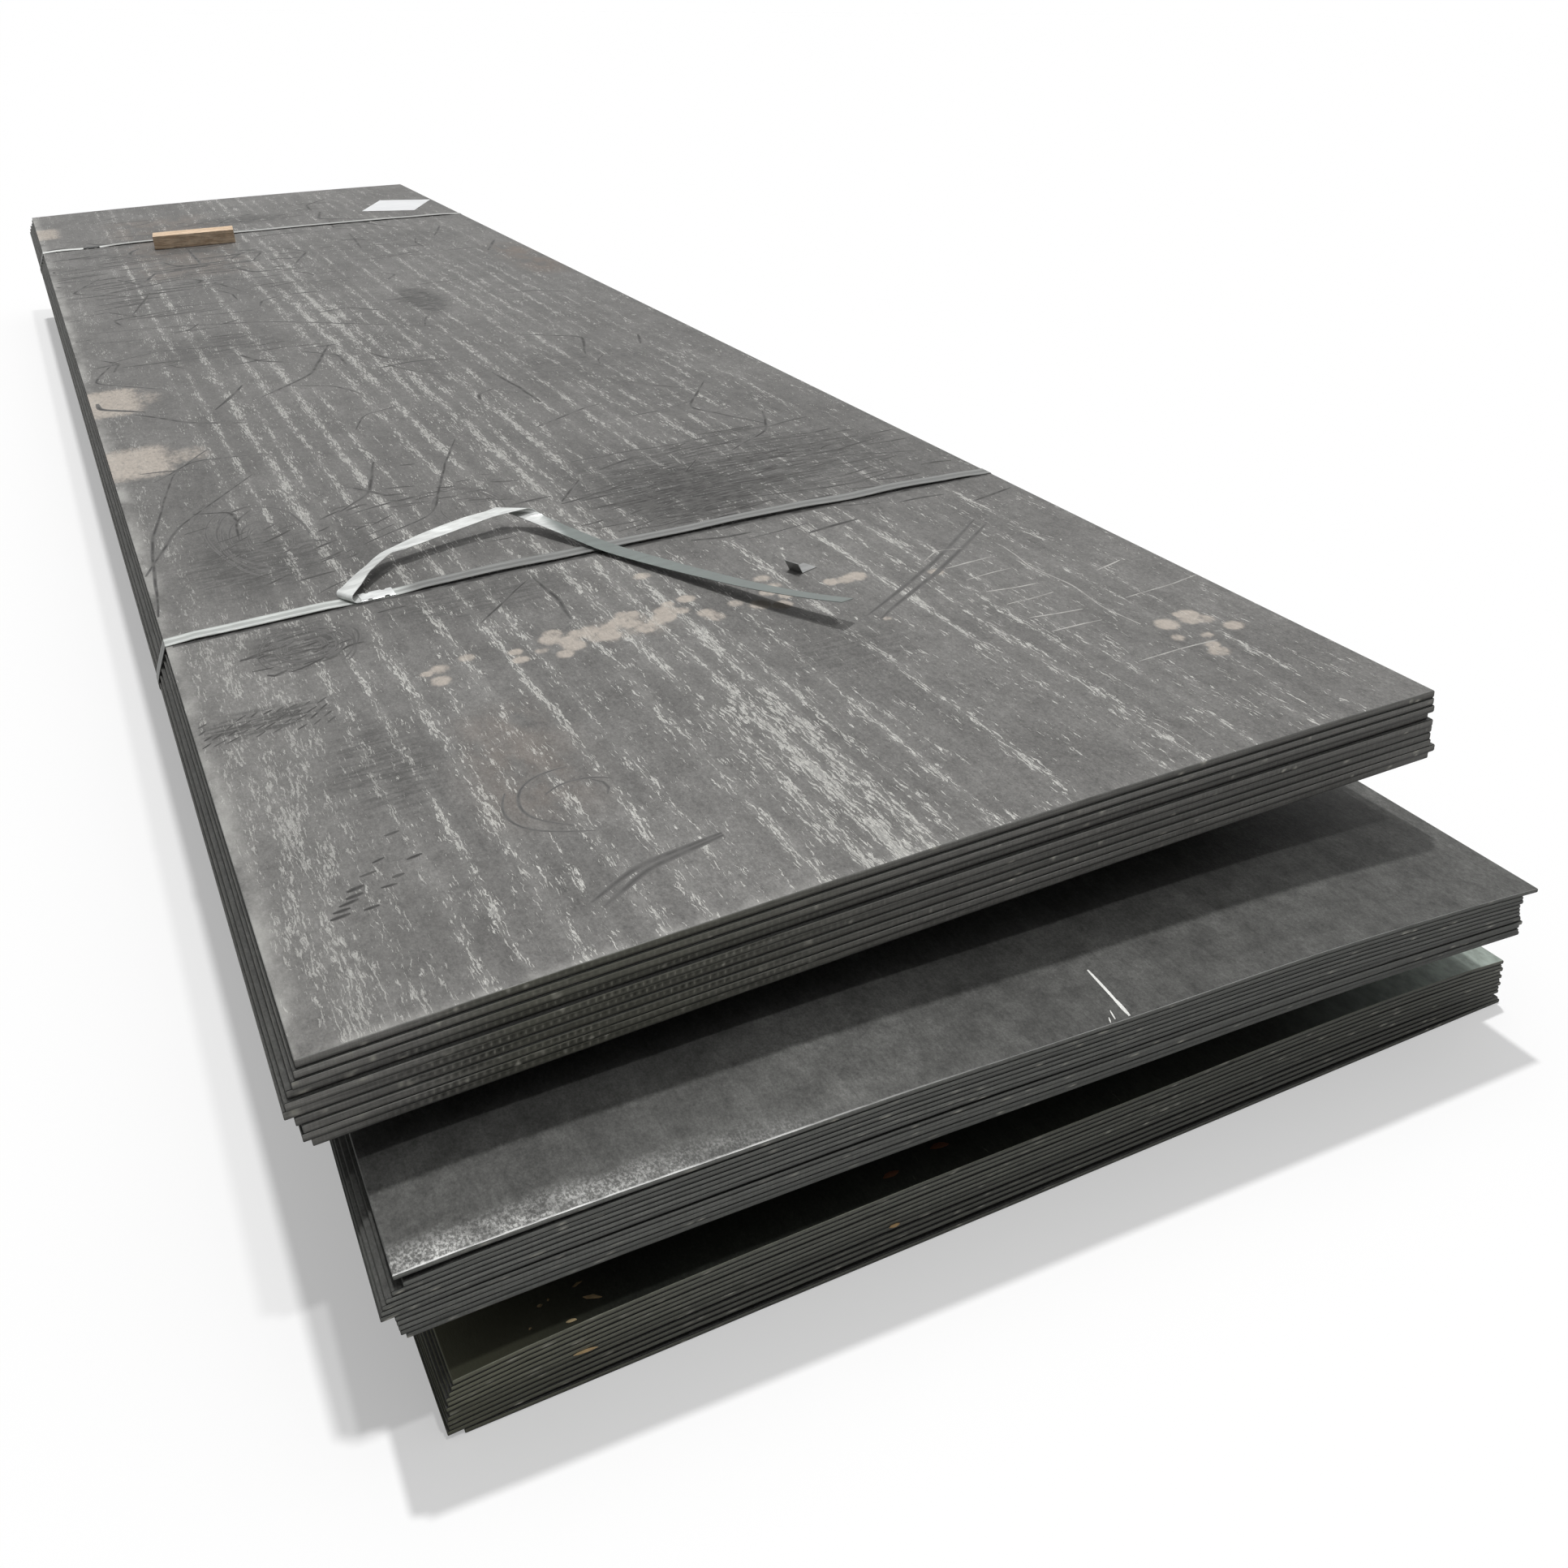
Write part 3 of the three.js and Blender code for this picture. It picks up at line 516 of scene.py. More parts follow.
def end_relief(plate, x, at_front):
    """How far a plate's torn end lies in from its outline, how bright its chips are, and the painted shade
    in its tooth marks' troughs.
    """
    source = plate.source(10, int(at_front))
    relief = 0.00025 * (1 + smooth_noise(source, x, 0.11))
    relief = relief + 0.00012 * (1 + smooth_noise(source, x, 0.006)) * WINDOW
    for _ in range(DENTS):
        middle, size = source.uniform(plate.left, plate.right), source.uniform(0.004, 0.02)
        relief += source.uniform(0.0003, 0.0009) * bell(x, middle, size) * WINDOW
    chip_and_shade = np.zeros(relief.shape)
    for _ in range(CHIPS):
        middle = plate.left + (plate.right - plate.left) * source.uniform(0, 1) ** 1.5
        spot = bell(x, middle, source.uniform(0.002, 0.005))
        level = bell(END_DEPTHS, source.uniform(0.1, 0.9), source.uniform(0.1, 0.3))
        chip_and_shade += source.uniform(0.3, 0.9) * spot * level
    if plate.bundle == "top":
        strength = ramp(x, 0.05, 0.13) * (1 - 0.75 * ramp(x, 0.36, 0.62))
        strength *= (0.35 if plate.row < WORN_TEETH else 1.0) * (0.6 + 0.4 * smooth_noise(source, x, 0.04))
        phase = source.uniform(0, 2 * math.pi) + 1.1 * smooth_noise(source, x, 0.05)
        tooth = 0.5 - 0.5 * np.cos(2 * math.pi * x / TOOTH_PITCH + phase)
        relief += 0.0014 * (strength * tooth**1.5) * bell(END_DEPTHS, 0.55, 0.3)
        crest = strength * (1 - tooth) ** 3.5 * bell(END_DEPTHS, 0.45, 0.2)
        chip_and_shade += crest * source.uniform(0.25, 0.8, x.shape)
        # painted shade: the tooth marks' troughs are darker
        chip_and_shade -= 0.8 * (strength * tooth) * bell(END_DEPTHS, 0.5, 0.35)
        relief += 0.0002 * (0.5 + 0.5 * smooth_noise(source, x, 0.0025)) * WINDOW
    return relief, np.clip(chip_and_shade, -1, 1)


def end_columns(plate, at_front):
    """Where a plate's end has its columns of points."""
    chamfer = plate.x[1] - plate.left
    first, last = plate.left + chamfer, plate.right - chamfer
    if plate.bundle == "top" and at_front:
        low, high = TOOTHED
        before, within, after = TOOTHED_STEPS
        inner = [np.arange(first, low, before), np.arange(low, high, within),
                 np.arange(high, last - 0.002, after)]
    else:
        step = END_STEPS[plate.bundle]
        inner = [np.arange(first, last - step / 2, step)]
    return np.concatenate([[plate.left], *inner, [last, plate.right]])


def pick_columns(columns, count):
    """About that many of the columns, with both corners and their chamfers."""
    last = len(columns) - 1
    inner = np.unique(np.linspace(1, last - 1, count).round().astype(int))
    return columns[np.concatenate([[0], inner, [last]])]


def build_plate(plate, face_columns, face_stations, materials):
    """A closed mesh: two torn ends, the faces between them and the sides."""
    points, chips, depths, faces, kinds = [], [], [], [], []

    def put(x, y, depth, chip_and_shade=SIDE_SHADE, end_depth=0.0):
        """Adds a grid of points at those places and depths."""
        start = sum(map(len, points))
        x = x + 0 * y
        points.append(np.stack([x, y, plate.height(x, y, depth)], -1).reshape(-1, 3))
        chips.append((chip_and_shade + 0 * x).ravel())
        depths.append((end_depth + 0 * x).ravel())
        return np.arange(start, start + x.size).reshape(x.shape)

    def face(indices, outward, kind):
        faces.append([int(i) for i in (indices if outward else indices[::-1])])
        kinds.append(kind)

    def lattice(grid, outward, strip_kinds, turn=0):
        """The quads of a grid. Each kind is for the quads between two of its columns."""
        for i in range(len(grid) - 1):
            for j, kind in enumerate(strip_kinds):
                quad = [grid[i, j], grid[i, j + 1], grid[i + 1, j + 1], grid[i + 1, j]]
                face(quad[turn:] + quad[:turn], outward, kind)

    ends = {}
    rolls = END_ROLLS * ROLLOVER[plate.bundle]
    # the ends' top row: groove shade under another plate, a painted highlight on each bundle's upper plate;
    # the bottom row: groove shade
    end_kinds = [SEAM_SHADE if plate.row else LIP_HIGHLIGHT, *[EDGE] * (len(END_DEPTHS) - 3), SEAM_SHADE]
    for at_front in (True, False):
        x = end_columns(plate, at_front)[:, None]
        relief, chip_and_shade = end_relief(plate, x, at_front)
        # painted shade at the end's two outer columns, as on the long sides
        chip_and_shade[[0, -1]] = SIDE_SHADE
        y = plate.end(x, at_front) + (rolls + relief) * (1 if at_front else -1)
        ends[at_front] = (x, put(x, y, END_DEPTHS, chip_and_shade, END_DEPTHS))
        lattice(ends[at_front][1], at_front, end_kinds, 1)

    def surface(count, stations, row):
        """The upper face at row 0, or the lower one at row -1, between the two ends."""
        upward = row == 0
        x = pick_columns(ends[True][0][:, 0], count)
        y = plate.along(x, np.array(stations)[:, None])
        grid = put(x, y, END_DEPTHS[row])
        # the chamfers of lower plates take the edge material with the long sides' painted shade
        chamfer = EDGE if plate.row else FACE
        lattice(grid, upward, [chamfer, *[FACE] * (len(x) - 3), chamfer])
        for at_front, line in ((True, grid[0]), (False, grid[-1])):
            end_x, end_grid = ends[at_front]
            cuts = np.abs(end_x - x).argmin(0)
            for k in range(len(x) - 1):
                fine = list(end_grid[cuts[k]:cuts[k + 1] + 1, row])
                face(fine + [line[k + 1], line[k]], upward == at_front, FACE)
        return grid

    ends_only = [SHOULDER / LENGTH, 1 - SHOULDER / LENGTH]
    if plate.sprung:
        ends_only[1:1] = np.linspace(0, SPRUNG["reach"] / LENGTH, SPRUNG["stations"])[1:]
    top = surface(face_columns, ends_only if face_stations is None else face_stations, 0)
    bottom = surface(FACE_COLUMNS["underside"], ends_only, -1)
    for side in (0, -1):
        ring = [*ends[True][1][side], *bottom[:, side], *ends[False][1][side, ::-1], *top[::-1, side]]
        face(ring, side == -1, EDGE)

    mesh = bpy.data.meshes.new(plate.node)
    points = np.concatenate(points)
    mesh.from_pydata(points.tolist(), [], faces)
    mesh.validate()
    source = plate.source(11)
    tone, seam_shade = source.uniform(0.15, 0.85), source.uniform()
    if plate.bundle == "bottom":
        # the bottom bundle's grooves get darker painted shade
        tone, seam_shade = tone * 0.4 + (0.6 if plate.row < LIGHT_ROWS else 0), seam_shade * 0.3
    set_values(mesh, "chip_and_shade", np.concatenate(chips))
    set_values(mesh, "depth", np.concatenate(depths))
    set_values(mesh, "tone", np.full(len(points), tone))
    set_values(mesh, "seam_shade", np.full(len(points), seam_shade))
    for material in materials:
        mesh.materials.append(material)
    mesh.polygons.foreach_set("material_index", kinds)
    smooth(mesh, PLATE_CORNER)
    return mesh, points


# ---- the top plate's paint

STRAP_WIDTH = 0.032
# Where each strap crosses the top plate's middle line, its skew and where its seal lies.
STRAP_ROUTES = {"front": (1.115, 0.8, 0.322), "back": (LENGTH - 0.988, -1.9, 0.16)}
SEAL_HALF = 0.034
# Where a band of flecks without its own start and end runs from and to.
EVERYWHERE = (-1, 7)
# Bands of pale flecks: across the plate, half width and strength, then from and to along it.
BANDS = (
    (0.1, 0.07, 0.5, -1, 1.3), (0.055, 0.03, 0.3), (0.19, 0.01, 0.45), (0.235, 0.007, 0.65),
    (0.29, 0.012, 0.8), (0.33, 0.007, 0.45), (0.38, 0.009, 0.65, -1, 3.3), (0.435, 0.01, 0.68),
    (0.48, 0.008, 0.55, -1, 3.0), (0.565, 0.01, 0.75), (0.62, 0.012, 0.85), (0.67, 0.011, 0.85),
    (0.71, 0.013, 0.9), (0.73, 0.035, 0.25, 1.05, 2.2), (0.8, 0.035, 0.27, 1.7, 3.3),
    (0.665, 0.06, 0.28, 2.3, 3.7), (0.665, 0.07, 0.3, -1, 0.6), (0.745, 0.007, 0.6), (0.8, 0.008, 0.75),
    (0.84, 0.006, 0.55, 1.2, 7), (0.91, 0.008, 0.75), (0.97, 0.007, 0.8, 1.2, 7),
    (1.01, 0.006, 0.85, 1.2, 2.4), (1.05, 0.008, 0.75), (1.1, 0.009, 0.8), (1.15, 0.008, 0.75),
    (1.19, 0.007, 0.65), (1.24, 0.006, 0.7, 1.2, 7), (1.29, 0.007, 0.55), (1.33, 0.007, 0.5),
    (1.38, 0.008, 0.5),
)
# Clusters of dried drops: the middle, the spread each way and how many.
DROPS = (
    (0.4, 0.775, 0.055, 0.012, 4), (0.51, 0.76, 0.03, 0.022, 7), (0.62, 0.772, 0.042, 0.03, 17),
    (0.71, 0.79, 0.025, 0.035, 6), (0.8, 0.752, 0.04, 0.008, 4), (0.88, 0.8, 0.012, 0.06, 4),
    (1.03, 0.77, 0.038, 0.005, 5), (0.98, 0.6, 0.005, 0.005, 1), (0.714, 0.964, 0.005, 0.005, 1),
    (1.143, 0.729, 0.005, 0.005, 1), (1.38, 0.355, 0.03, 0.02, 5), (1.34, 0.29, 0.034, 0.028, 5),
)
# Patches: low and high corner, and strength.
PALE = (
    (-0.05, 2.53, 0.11, 2.8, 0.8), (0.04, 2.6, 0.16, 2.74, 0.5), (-0.05, 2.0, 0.12, 2.24, 0.8),
    (0.04, 2.06, 0.2, 2.18, 0.55), (-0.05, 5.34, 0.08, 5.62, 0.7), (0.56, 0.72, 0.7, 0.82, 0.42),
)
RUSTY = ((0.3, 0.3, 0.42, 0.6, 0.4), (1.38, 3.6, 1.5, 4.2, 0.6), (0.25, 4.2, 0.6, 5.6, 0.35))
SCUFFED = (
    (0.72, 1.14, 1.46, 1.66, 0.6), (0.8, 1.12, 1.1, 1.56, 1.0), (0, 0.7, 0.18, 0.8, 0.8),
    (0.1, 0.88, 0.26, 1.08, 0.8), (0.89, 3.15, 1.02, 3.62, 1.0), (0.5, 5.2, 0.9, 5.45, 0.8),
    (1.0, 5.07, 1.06, 5.13, 0.9), (0.13, 0.38, 0.27, 0.68, 0.5), (0.04, 1.22, 0.32, 1.55, 0.55),
    (0.3, 0.93, 0.62, 1.1, 0.45), (0.2, 2.9, 0.55, 3.3, 0.5), (0.1, 4.6, 0.5, 4.9, 0.5),
    (0.9, 2.2, 1.3, 2.6, 0.4), (1.0, 4.3, 1.4, 4.7, 0.5), (0.5, 3.7, 0.9, 4.0, 0.4),
    (0.75, 0.45, 1.0, 0.6, 0.3),
)


def oval(x, y, low_x, low_y, high_x, high_y):
    away = np.hypot((2 * x - low_x - high_x) / (high_x - low_x), (2 * y - low_y - high_y) / (high_y - low_y))
    return 1 - ramp(away, 0.5, 1.25)


def patch(x, y, low_x, low_y, high_x, high_y, soft):
    inside = window(x, low_x - soft, low_x + soft, high_x - soft, high_x + soft)
    return inside * window(y, low_y - soft, low_y + soft, high_y - soft, high_y + soft)


def paint_top(mesh, points):
    """Puts fleck density, dried drops, scuffs and rust on the top plate's points."""
    source = rng(20)
    x, y = points[:, 0], points[:, 1]
    on_plate_y = np.clip(y, 0, LENGTH)
    streak, drop, scuff, rust = np.zeros((4, len(x)))
    for middle, half_width, strength, *reach in BANDS:
        start, end = reach or EVERYWHERE
        line = middle + 0.004 * smooth_noise(source, on_plate_y, 0.9)
        swell = 0.72 + 0.2 * smooth_noise(source, on_plate_y, 0.22)
        swell += 0.22 * smooth_noise(source, on_plate_y, 0.9)
        part = window(y, start, start + 0.25, end - 0.25, end)
        streak += strength * swell * part * bell(x, line, half_width)
    # The flecks are fainter towards the back and on the right.
    streak *= 1 - 0.35 * ramp(y, 3.8, 5.5)
    streak *= 1 - 0.2 * ramp(x, 0.84, 0.95) * ramp(y, 1.5, 2.2)
    for across, along, wide, deep, count in DROPS:
        for _ in range(count):
            middle = source.normal((across, along), (wide, deep))
            radius = source.uniform(0.012, 0.024)
            away = np.hypot(x - middle[0], (y - middle[1]) * source.uniform(0.85, 1.1))
            fade = 1 - ramp(away, radius * 0.45, radius * 1.25)
            drop = np.maximum(drop, source.uniform(0.6, 1.0) * fade)
    for *corners, strength in PALE:
        drop = np.maximum(drop, strength * patch(x, y, *corners, soft=0.035))
    for *corners, strength in RUSTY:
        rust = np.maximum(rust, strength * patch(x, y, *corners, soft=0.06))
    for *corners, strength in SCUFFED:
        scuff = np.maximum(scuff, strength * oval(x, y, *corners))
    set_values(mesh, "streak", streak)
    paint = mesh.attributes.new("paint", "FLOAT_COLOR", "POINT")
    paint.data.foreach_set("color", np.stack([drop, scuff, rust, np.ones(len(x))], -1).ravel())


def read(items, name, width=1):
    """Whole numbers of the items, or rows of that many numbers."""
    values = np.zeros(len(items) * width)
    items.foreach_get(name, values)
    return values.reshape(-1, width) if width > 1 else values.astype(int)


def spread_out(mesh):
    """A UV map for texture baking that gives most of its room to the two halves of the top face."""
    counts, kinds = read(mesh.polygons, "loop_total"), read(mesh.polygons, "material_index")
    corners = read(mesh.loops, "vertex_index")
    places = read(mesh.vertices, "co", 3)
    low, high = places.min(0), places.max(0)
    at = ((places - low) / (high - low))[corners]
    owner = np.repeat(np.arange(len(counts)), counts)
    normal = read(mesh.polygons, "normal", 3)[owner]
    half = (np.bincount(owner, at[:, 1]) / counts > 0.5)[owner]
    flat = (kinds == FACE)[owner]
    upward, endways = normal[:, 2] > 0, np.abs(normal[:, 1]) > np.abs(normal[:, 0])
    charts = (
        (flat & upward, half * 0.478 + 0.47 * at[:, 0], 0.92 * np.clip(at[:, 1] * 2 - half, 0, 1)),
        (flat & ~upward, 0.958 + 0.034 * at[:, 0], 0.92 * at[:, 1]),
        (~flat & endways, 0.99 * at[:, 0], np.where(normal[:, 1] < 0, 0.932, 0.955) + 0.018 * at[:, 2]),
        (~flat & ~endways, 0.99 * at[:, 1], np.where(normal[:, 0] < 0, 0.978, 0.988) + 0.006 * at[:, 2]),
    )
    uvs = np.zeros((len(corners), 2))
    for chosen, u, v in charts:
        uvs[chosen] = np.stack([u, v], -1)[chosen] + (0.004, 0.003)
    mesh.uv_layers.new(name="OFBake").data.foreach_set("uv", uvs.ravel())


# ---- build the plates

make_camera()
bpy.context.scene.view_settings.view_transform = "Standard"

# Rows of points on the top plate's face, closest at its front, where its paint has most detail.
TOP_STATIONS = np.concatenate([
    np.arange(SHOULDER, 0.2, 0.03), np.arange(0.2, 1.12, 0.0065),
    np.linspace(1.13, LENGTH / 2, 50), np.linspace(LENGTH / 2, LENGTH - SHOULDER, 62)[1:],
]) / LENGTH

FACE_MATERIALS = {
    "top": plate_material("face_top", srgb(111, 110, 108), srgb(208, 207, 202), 0.078, "upmost"),
    "middle": plate_material("face_ledge", srgb(92, 92, 90), srgb(128, 128, 125), -0.05, "ledge"),
    # the bottom bundle's face has a dark base: painted shade under the bundle above
    "bottom": plate_material("face_bottom_painted_shade_and_light", srgb(56, 58, 53), srgb(100, 102, 92), 0.0, "lowest"),
}
# painted shade: the strips of top face that lower plates show at their steps are darker, as shade under the
# plate above
INNER_FACE_SHADED = plate_material("face_inner_shaded", srgb(78, 78, 76), srgb(100, 100, 98), -0.02)
OLIVE = srgb(88, 89, 72)
EDGE_MATERIALS = {
    "top": edge_material("edge_top", srgb(132, 131, 127), OLIVE, 0.08, 0.3),
    "middle": edge_material("edge_middle", srgb(112, 113, 109), OLIVE, -1, -0.5),
    "bottom": edge_material("edge_bottom", srgb(106, 107, 99), srgb(112, 112, 88), -0.3, -0.15),
}
SEAM_SHADE_MATERIAL = seam_shade_material("seam_shade", srgb(20, 21, 21), srgb(72, 73, 70))
# painted highlight: the top row of each bundle's upper plate's ends is paler, fading to the right on the top
# and middle bundles
LIP_HIGHLIGHT_MATERIALS = {
    "top": edge_material("lip_highlight_top", srgb(150, 150, 146), srgb(104, 104, 101), 0.3, 3),
    "middle": edge_material("lip_highlight_middle", srgb(210, 210, 208), srgb(92, 92, 90), 0.35, 3),
    "bottom": edge_material("lip_highlight_bottom", srgb(120, 122, 110), OLIVE, -2, -1.8),
}

for bundle, spec in BUNDLES.items():
    for row in range(spec["plates"]):
        plate = Plate(bundle, row)
        face_material = FACE_MATERIALS[bundle] if row == 0 else INNER_FACE_SHADED
        materials = [face_material, EDGE_MATERIALS[bundle], SEAM_SHADE_MATERIAL, LIP_HIGHLIGHT_MATERIALS[bundle]]
        upmost = bundle == "top" and row == 0
        columns = FACE_COLUMNS["upmost" if upmost else "other"]
        mesh, points = build_plate(plate, columns, TOP_STATIONS if upmost else None, materials)
        if upmost:
            paint_top(mesh, points)
            spread_out(mesh)
        add_piece(f"plate_{bundle}_{row + 1:02d}", mesh, bundle, [plate.node])


# ---- meshes made from CAD nodes


def node_form(node, merge=MERGE, flat=0, matrix=None):
    """A node's bmesh, with points merged and faces joined that meet within flat degrees."""
    form = bmesh.new()
    form.from_mesh(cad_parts[node].data)
    if matrix is not None:
        form.transform(matrix)
    bmesh.ops.remove_doubles(form, verts=form.verts, dist=merge)
    if flat:
        bmesh.ops.dissolve_limit(form, angle_limit=math.radians(flat), verts=form.verts, edges=form.edges)
    return form


def cut_up(form, step):
    """Cuts a bmesh's faces by planes step apart along each axis."""
    for axis in range(3):
        values = [vertex.co[axis] for vertex in form.verts]
        low, high = min(values), max(values)
        count = max(1, round((high - low) / step[axis]))
        for i in range(1, count):
            at, normal = Vector((0, 0, 0)), Vector((0, 0, 0))
            at[axis] = low + (high - low) * i / count
            normal[axis] = 1
            geometry = form.verts[:] + form.edges[:] + form.faces[:]
            bmesh.ops.bisect_plane(form, geom=geometry, plane_co=at, plane_no=normal)


def finished(form, name, material, corner=None):
    """The bmesh as a mesh. With a corner angle, it is smooth but for corners past that angle."""
    if corner:
        bmesh.ops.triangulate(form, faces=[face for face in form.faces if len(face.verts) > 4])
    mesh = bpy.data.meshes.new(name)
    form.to_mesh(mesh)
    form.free()
    mesh.materials.append(material)
    if corner:
        smooth(mesh, corner)
    return mesh


# ---- timber


def timber_material(name, pale, dark, along):
    """Rough-sawn wood whose grain runs along one axis."""
    n = Nodes(name)
    stretch = [0.22 if axis == along else 0.007 for axis in "XYZ"]
    grain = n.noise(stretch, 5, 0.65, distortion=0.3)
    fibre = n.noise([s * 0.16 for s in stretch], shift=5)
    dirt = n.noise((0.05, 0.05, 0.05), 4, 0.7, 9)
    color = n.mix(n.between(grain, 0.38, 0.62), dark, pale)
    color = n.shaded(color, (fibre, 0.82, 1.16), (dirt, 0.78, 1.15))
    height = n.total(n.product(grain, 0.8), n.product(fibre, 0.6))
    return n.surface(color, n.between(grain, 0.3, 0.7, 0.9, 0.75), 0.2, (height, 0.0012, 0.8))


TIMBER_MERGE = 1e-5
TIMBER_CORNER = 35  # degrees, past which a timber's corner is shaded sharp
LONG_STEP = 2.2  # cuts across the grain are this much farther apart
CORNER_ANGLE = 0.5  # radians, past which a timber's edge is worn


def sawn(node, key, material, along, step, roughness, corner):
    """A piece of timber in place of its CAD node, with worn corners and a rough-sawn surface."""
    side = "XYZ".index(along)
    form = node_form(node, TIMBER_MERGE, 1)
    sharp = [edge for edge in form.edges if edge.calc_face_angle(0) > CORNER_ANGLE]
    bmesh.ops.bevel(form, geom=sharp, offset=corner, segments=2, affect="EDGES", profile=0.6)
    cut_up(form, [step * (LONG_STEP if axis == side else 1) for axis in range(3)])
    form.normal_update()
    source = rng(30, key)
    lines = {}
    for vertex in form.verts:
        across = tuple(round(vertex.co[axis], 3) for axis in range(3) if axis != side)
        if across not in lines:
            lines[across] = source.uniform(0, 1)
        depth = roughness * (0.55 * lines[across] + 0.45 * source.uniform(0, 1))
        vertex.co -= vertex.normal * depth
    mesh = finished(form, node, material, TIMBER_CORNER)
    add_piece(f"sawn_{node}", mesh, None, [node])


# The grain's axis, the step between cuts, how rough the faces are and how worn the corners.
BEARER = ("X", 0.012, 0.0012, 0.003)
PACKER = ("Y", 0.01, 0.001, 0.0025)
OFFCUT = ("X", 0.0045, 0.0007, 0.0012)
BEARER_WOOD = timber_material("worn_wood", srgb(150, 128, 100), srgb(96, 78, 60), "X")
PACKER_WOOD = timber_material("worn_packer", srgb(146, 124, 98), srgb(92, 76, 58), "Y")
OFFCUT_WOOD = timber_material("block_wood", srgb(250, 226, 198), srgb(212, 182, 152), "X")
for number in (1, 2, 3):
    sawn(f"lower_timber_{number}", number, BEARER_WOOD, *BEARER)
    sawn(f"low_packer_{number}", 10 + number, PACKER_WOOD, *PACKER)
    sawn(f"high_packer_{number}", 20 + number, PACKER_WOOD, *PACKER)
sawn("timber_block", 31, OFFCUT_WOOD, *OFFCUT)


# ---- straps, seals and card

SECOND_LEG = 0.29  # from the front seal to the loose end's second leg, along X
STRAP_CUTS = (0.022, 0.5, 0.5)  # between the cuts along each axis
TOP_LEVEL = -0.006  # a strap's points above this lie on the top plate
SEAL_HOLD = 0.05  # a seal holds its strap down for this far on each side
STRAP_LIFTS = {"front": 0.0042, "back": 0.0035}
STRAP_SLIP = 0.0012  # how far a slack strap waves sideways
THIN_CORNER = 32  # degrees, past which a strap's or sheet's corner is shaded sharp


def strap_material(name, bright, dull, turn):
    """Bare strapping with bright ridges along it, which turns dull past a place along X, with painted shade
    on its run down the left side.
    """
    n = Nodes(name)
    at = n.axes[0]
    mottle = n.noise((0.03, 0.006, 0.02), 4, 0.65)
    lines = n.noise((0.05, 0.0012, 0.02), shift=3)
    bulge = n.total(n.attribute("across"), n.product(mottle, 0.22))
    ridge = n.most(n.product(n.between(bulge, 0.16, 0.3), n.between(bulge, 0.5, 0.34)),
                   n.product(n.between(bulge, 0.72, 0.84), n.between(bulge, 1.1, 0.98)))
    color = n.mix(n.between(at, turn, turn + 0.04), bright, dull)
    # painted shade: the strap is darker where it runs down the bundle's left side
    color = n.mix(n.between(at, 0.0005, -0.0005, 0.0, 0.8), color, srgb(70, 70, 68))
    color = n.shaded(color, (ridge, 0.9, 1.3), (lines, 0.88, 1.1), (mottle, 0.86, 1.12))
    height = n.total(lines, n.product(ridge, 1.5))
    return n.surface(color, n.between(mottle, 0.3, 0.7, 0.4, 0.55), 0.3, (height, 0.0003, 0.6), 0.5)


def steel_material(name, base, metallic=0.55, roughness=0.42, turn=None, dull=None):
    """Bare steel with fine lines and patches. It can turn dull past a place along X."""
    n = Nodes(name)
    mottle = n.noise((0.04, 0.012, 0.02), 4, 0.65)
    lines = n.noise((0.03, 0.0016, 0.02), shift=3)
    color = n.mix(n.between(n.axes[0], turn, turn + 0.03), base, dull) if dull else base
    color = n.shaded(color, (mottle, 0.72, 1.18), (lines, 0.9, 1.1))
    height = n.total(lines, n.product(mottle, 0.8))
    rough = n.between(mottle, 0.3, 0.7, roughness, roughness + 0.15)
    return n.surface(color, rough, 0.3, (height, 0.0002, 0.5), metallic)


def card_material():
    """Plain paper, a little mottled."""
    n = Nodes("paper")
    fibre = n.noise((0.004, 0.004, 0.01), 4)
    stain = n.noise((0.09, 0.07, 0.1), shift=6)
    color = n.shaded(srgb(238, 239, 240), (fibre, 0.97, 1.02), (stain, 0.93, 1.03))
    return n.surface(color, n.between(fibre, 0.3, 0.7, 0.75, 0.85), 0.3, (fibre, 0.0002, 0.4))


def lifted_strap(which, material):
    """A strap whose run over the top plate stands a little proud and waves, as slack steel does."""
    middle, skew, seal = STRAP_ROUTES[which]
    lift = STRAP_LIFTS[which]
    form = node_form(f"{which}_strap", flat=0.2, matrix=FRAMES["top"].inverted())
    cut_up(form, STRAP_CUTS)
    bmesh.ops.dissolve_degenerate(form, dist=1e-5, edges=form.edges)
    source = rng(31, ord(which[0]))
    x, y, z = np.array([vertex.co for vertex in form.verts], float).T
    across = (y - middle - (x - WIDTH / 2) * math.tan(math.radians(skew))) / STRAP_WIDTH + 0.5
    low, high = seal - SEAL_HALF, seal + SEAL_HALF
    free = window(x, 0.0, 0.06, WIDTH - 0.08, WIDTH - 0.01)
    free *= 1 - window(x, low - SEAL_HOLD, low, high, high + SEAL_HOLD)
    free *= z > TOP_LEVEL
    wave, tilt = smooth_noise(source, x, 0.11), smooth_noise(source, x, 0.2)
    rise = lift * (0.85 + 0.3 * wave) + lift * 0.35 * tilt * (across - 0.5)
    for vertex, up, aside in zip(form.verts, rise * free, STRAP_SLIP * wave * free):
        vertex.co.z += up
        vertex.co.y += aside
    mesh = finished(form, f"strap_{which}", material, THIN_CORNER)
    set_values(mesh, "across", across)
    add_piece(f"strap_{which}", mesh, "top", [f"{which}_strap"])


def smooth_copy(node, name, material):
    """A CAD node's own mesh, merged and smoothed, in place of that node."""
    add_piece(name, finished(node_form(node), name, material, THIN_CORNER), None, [node])


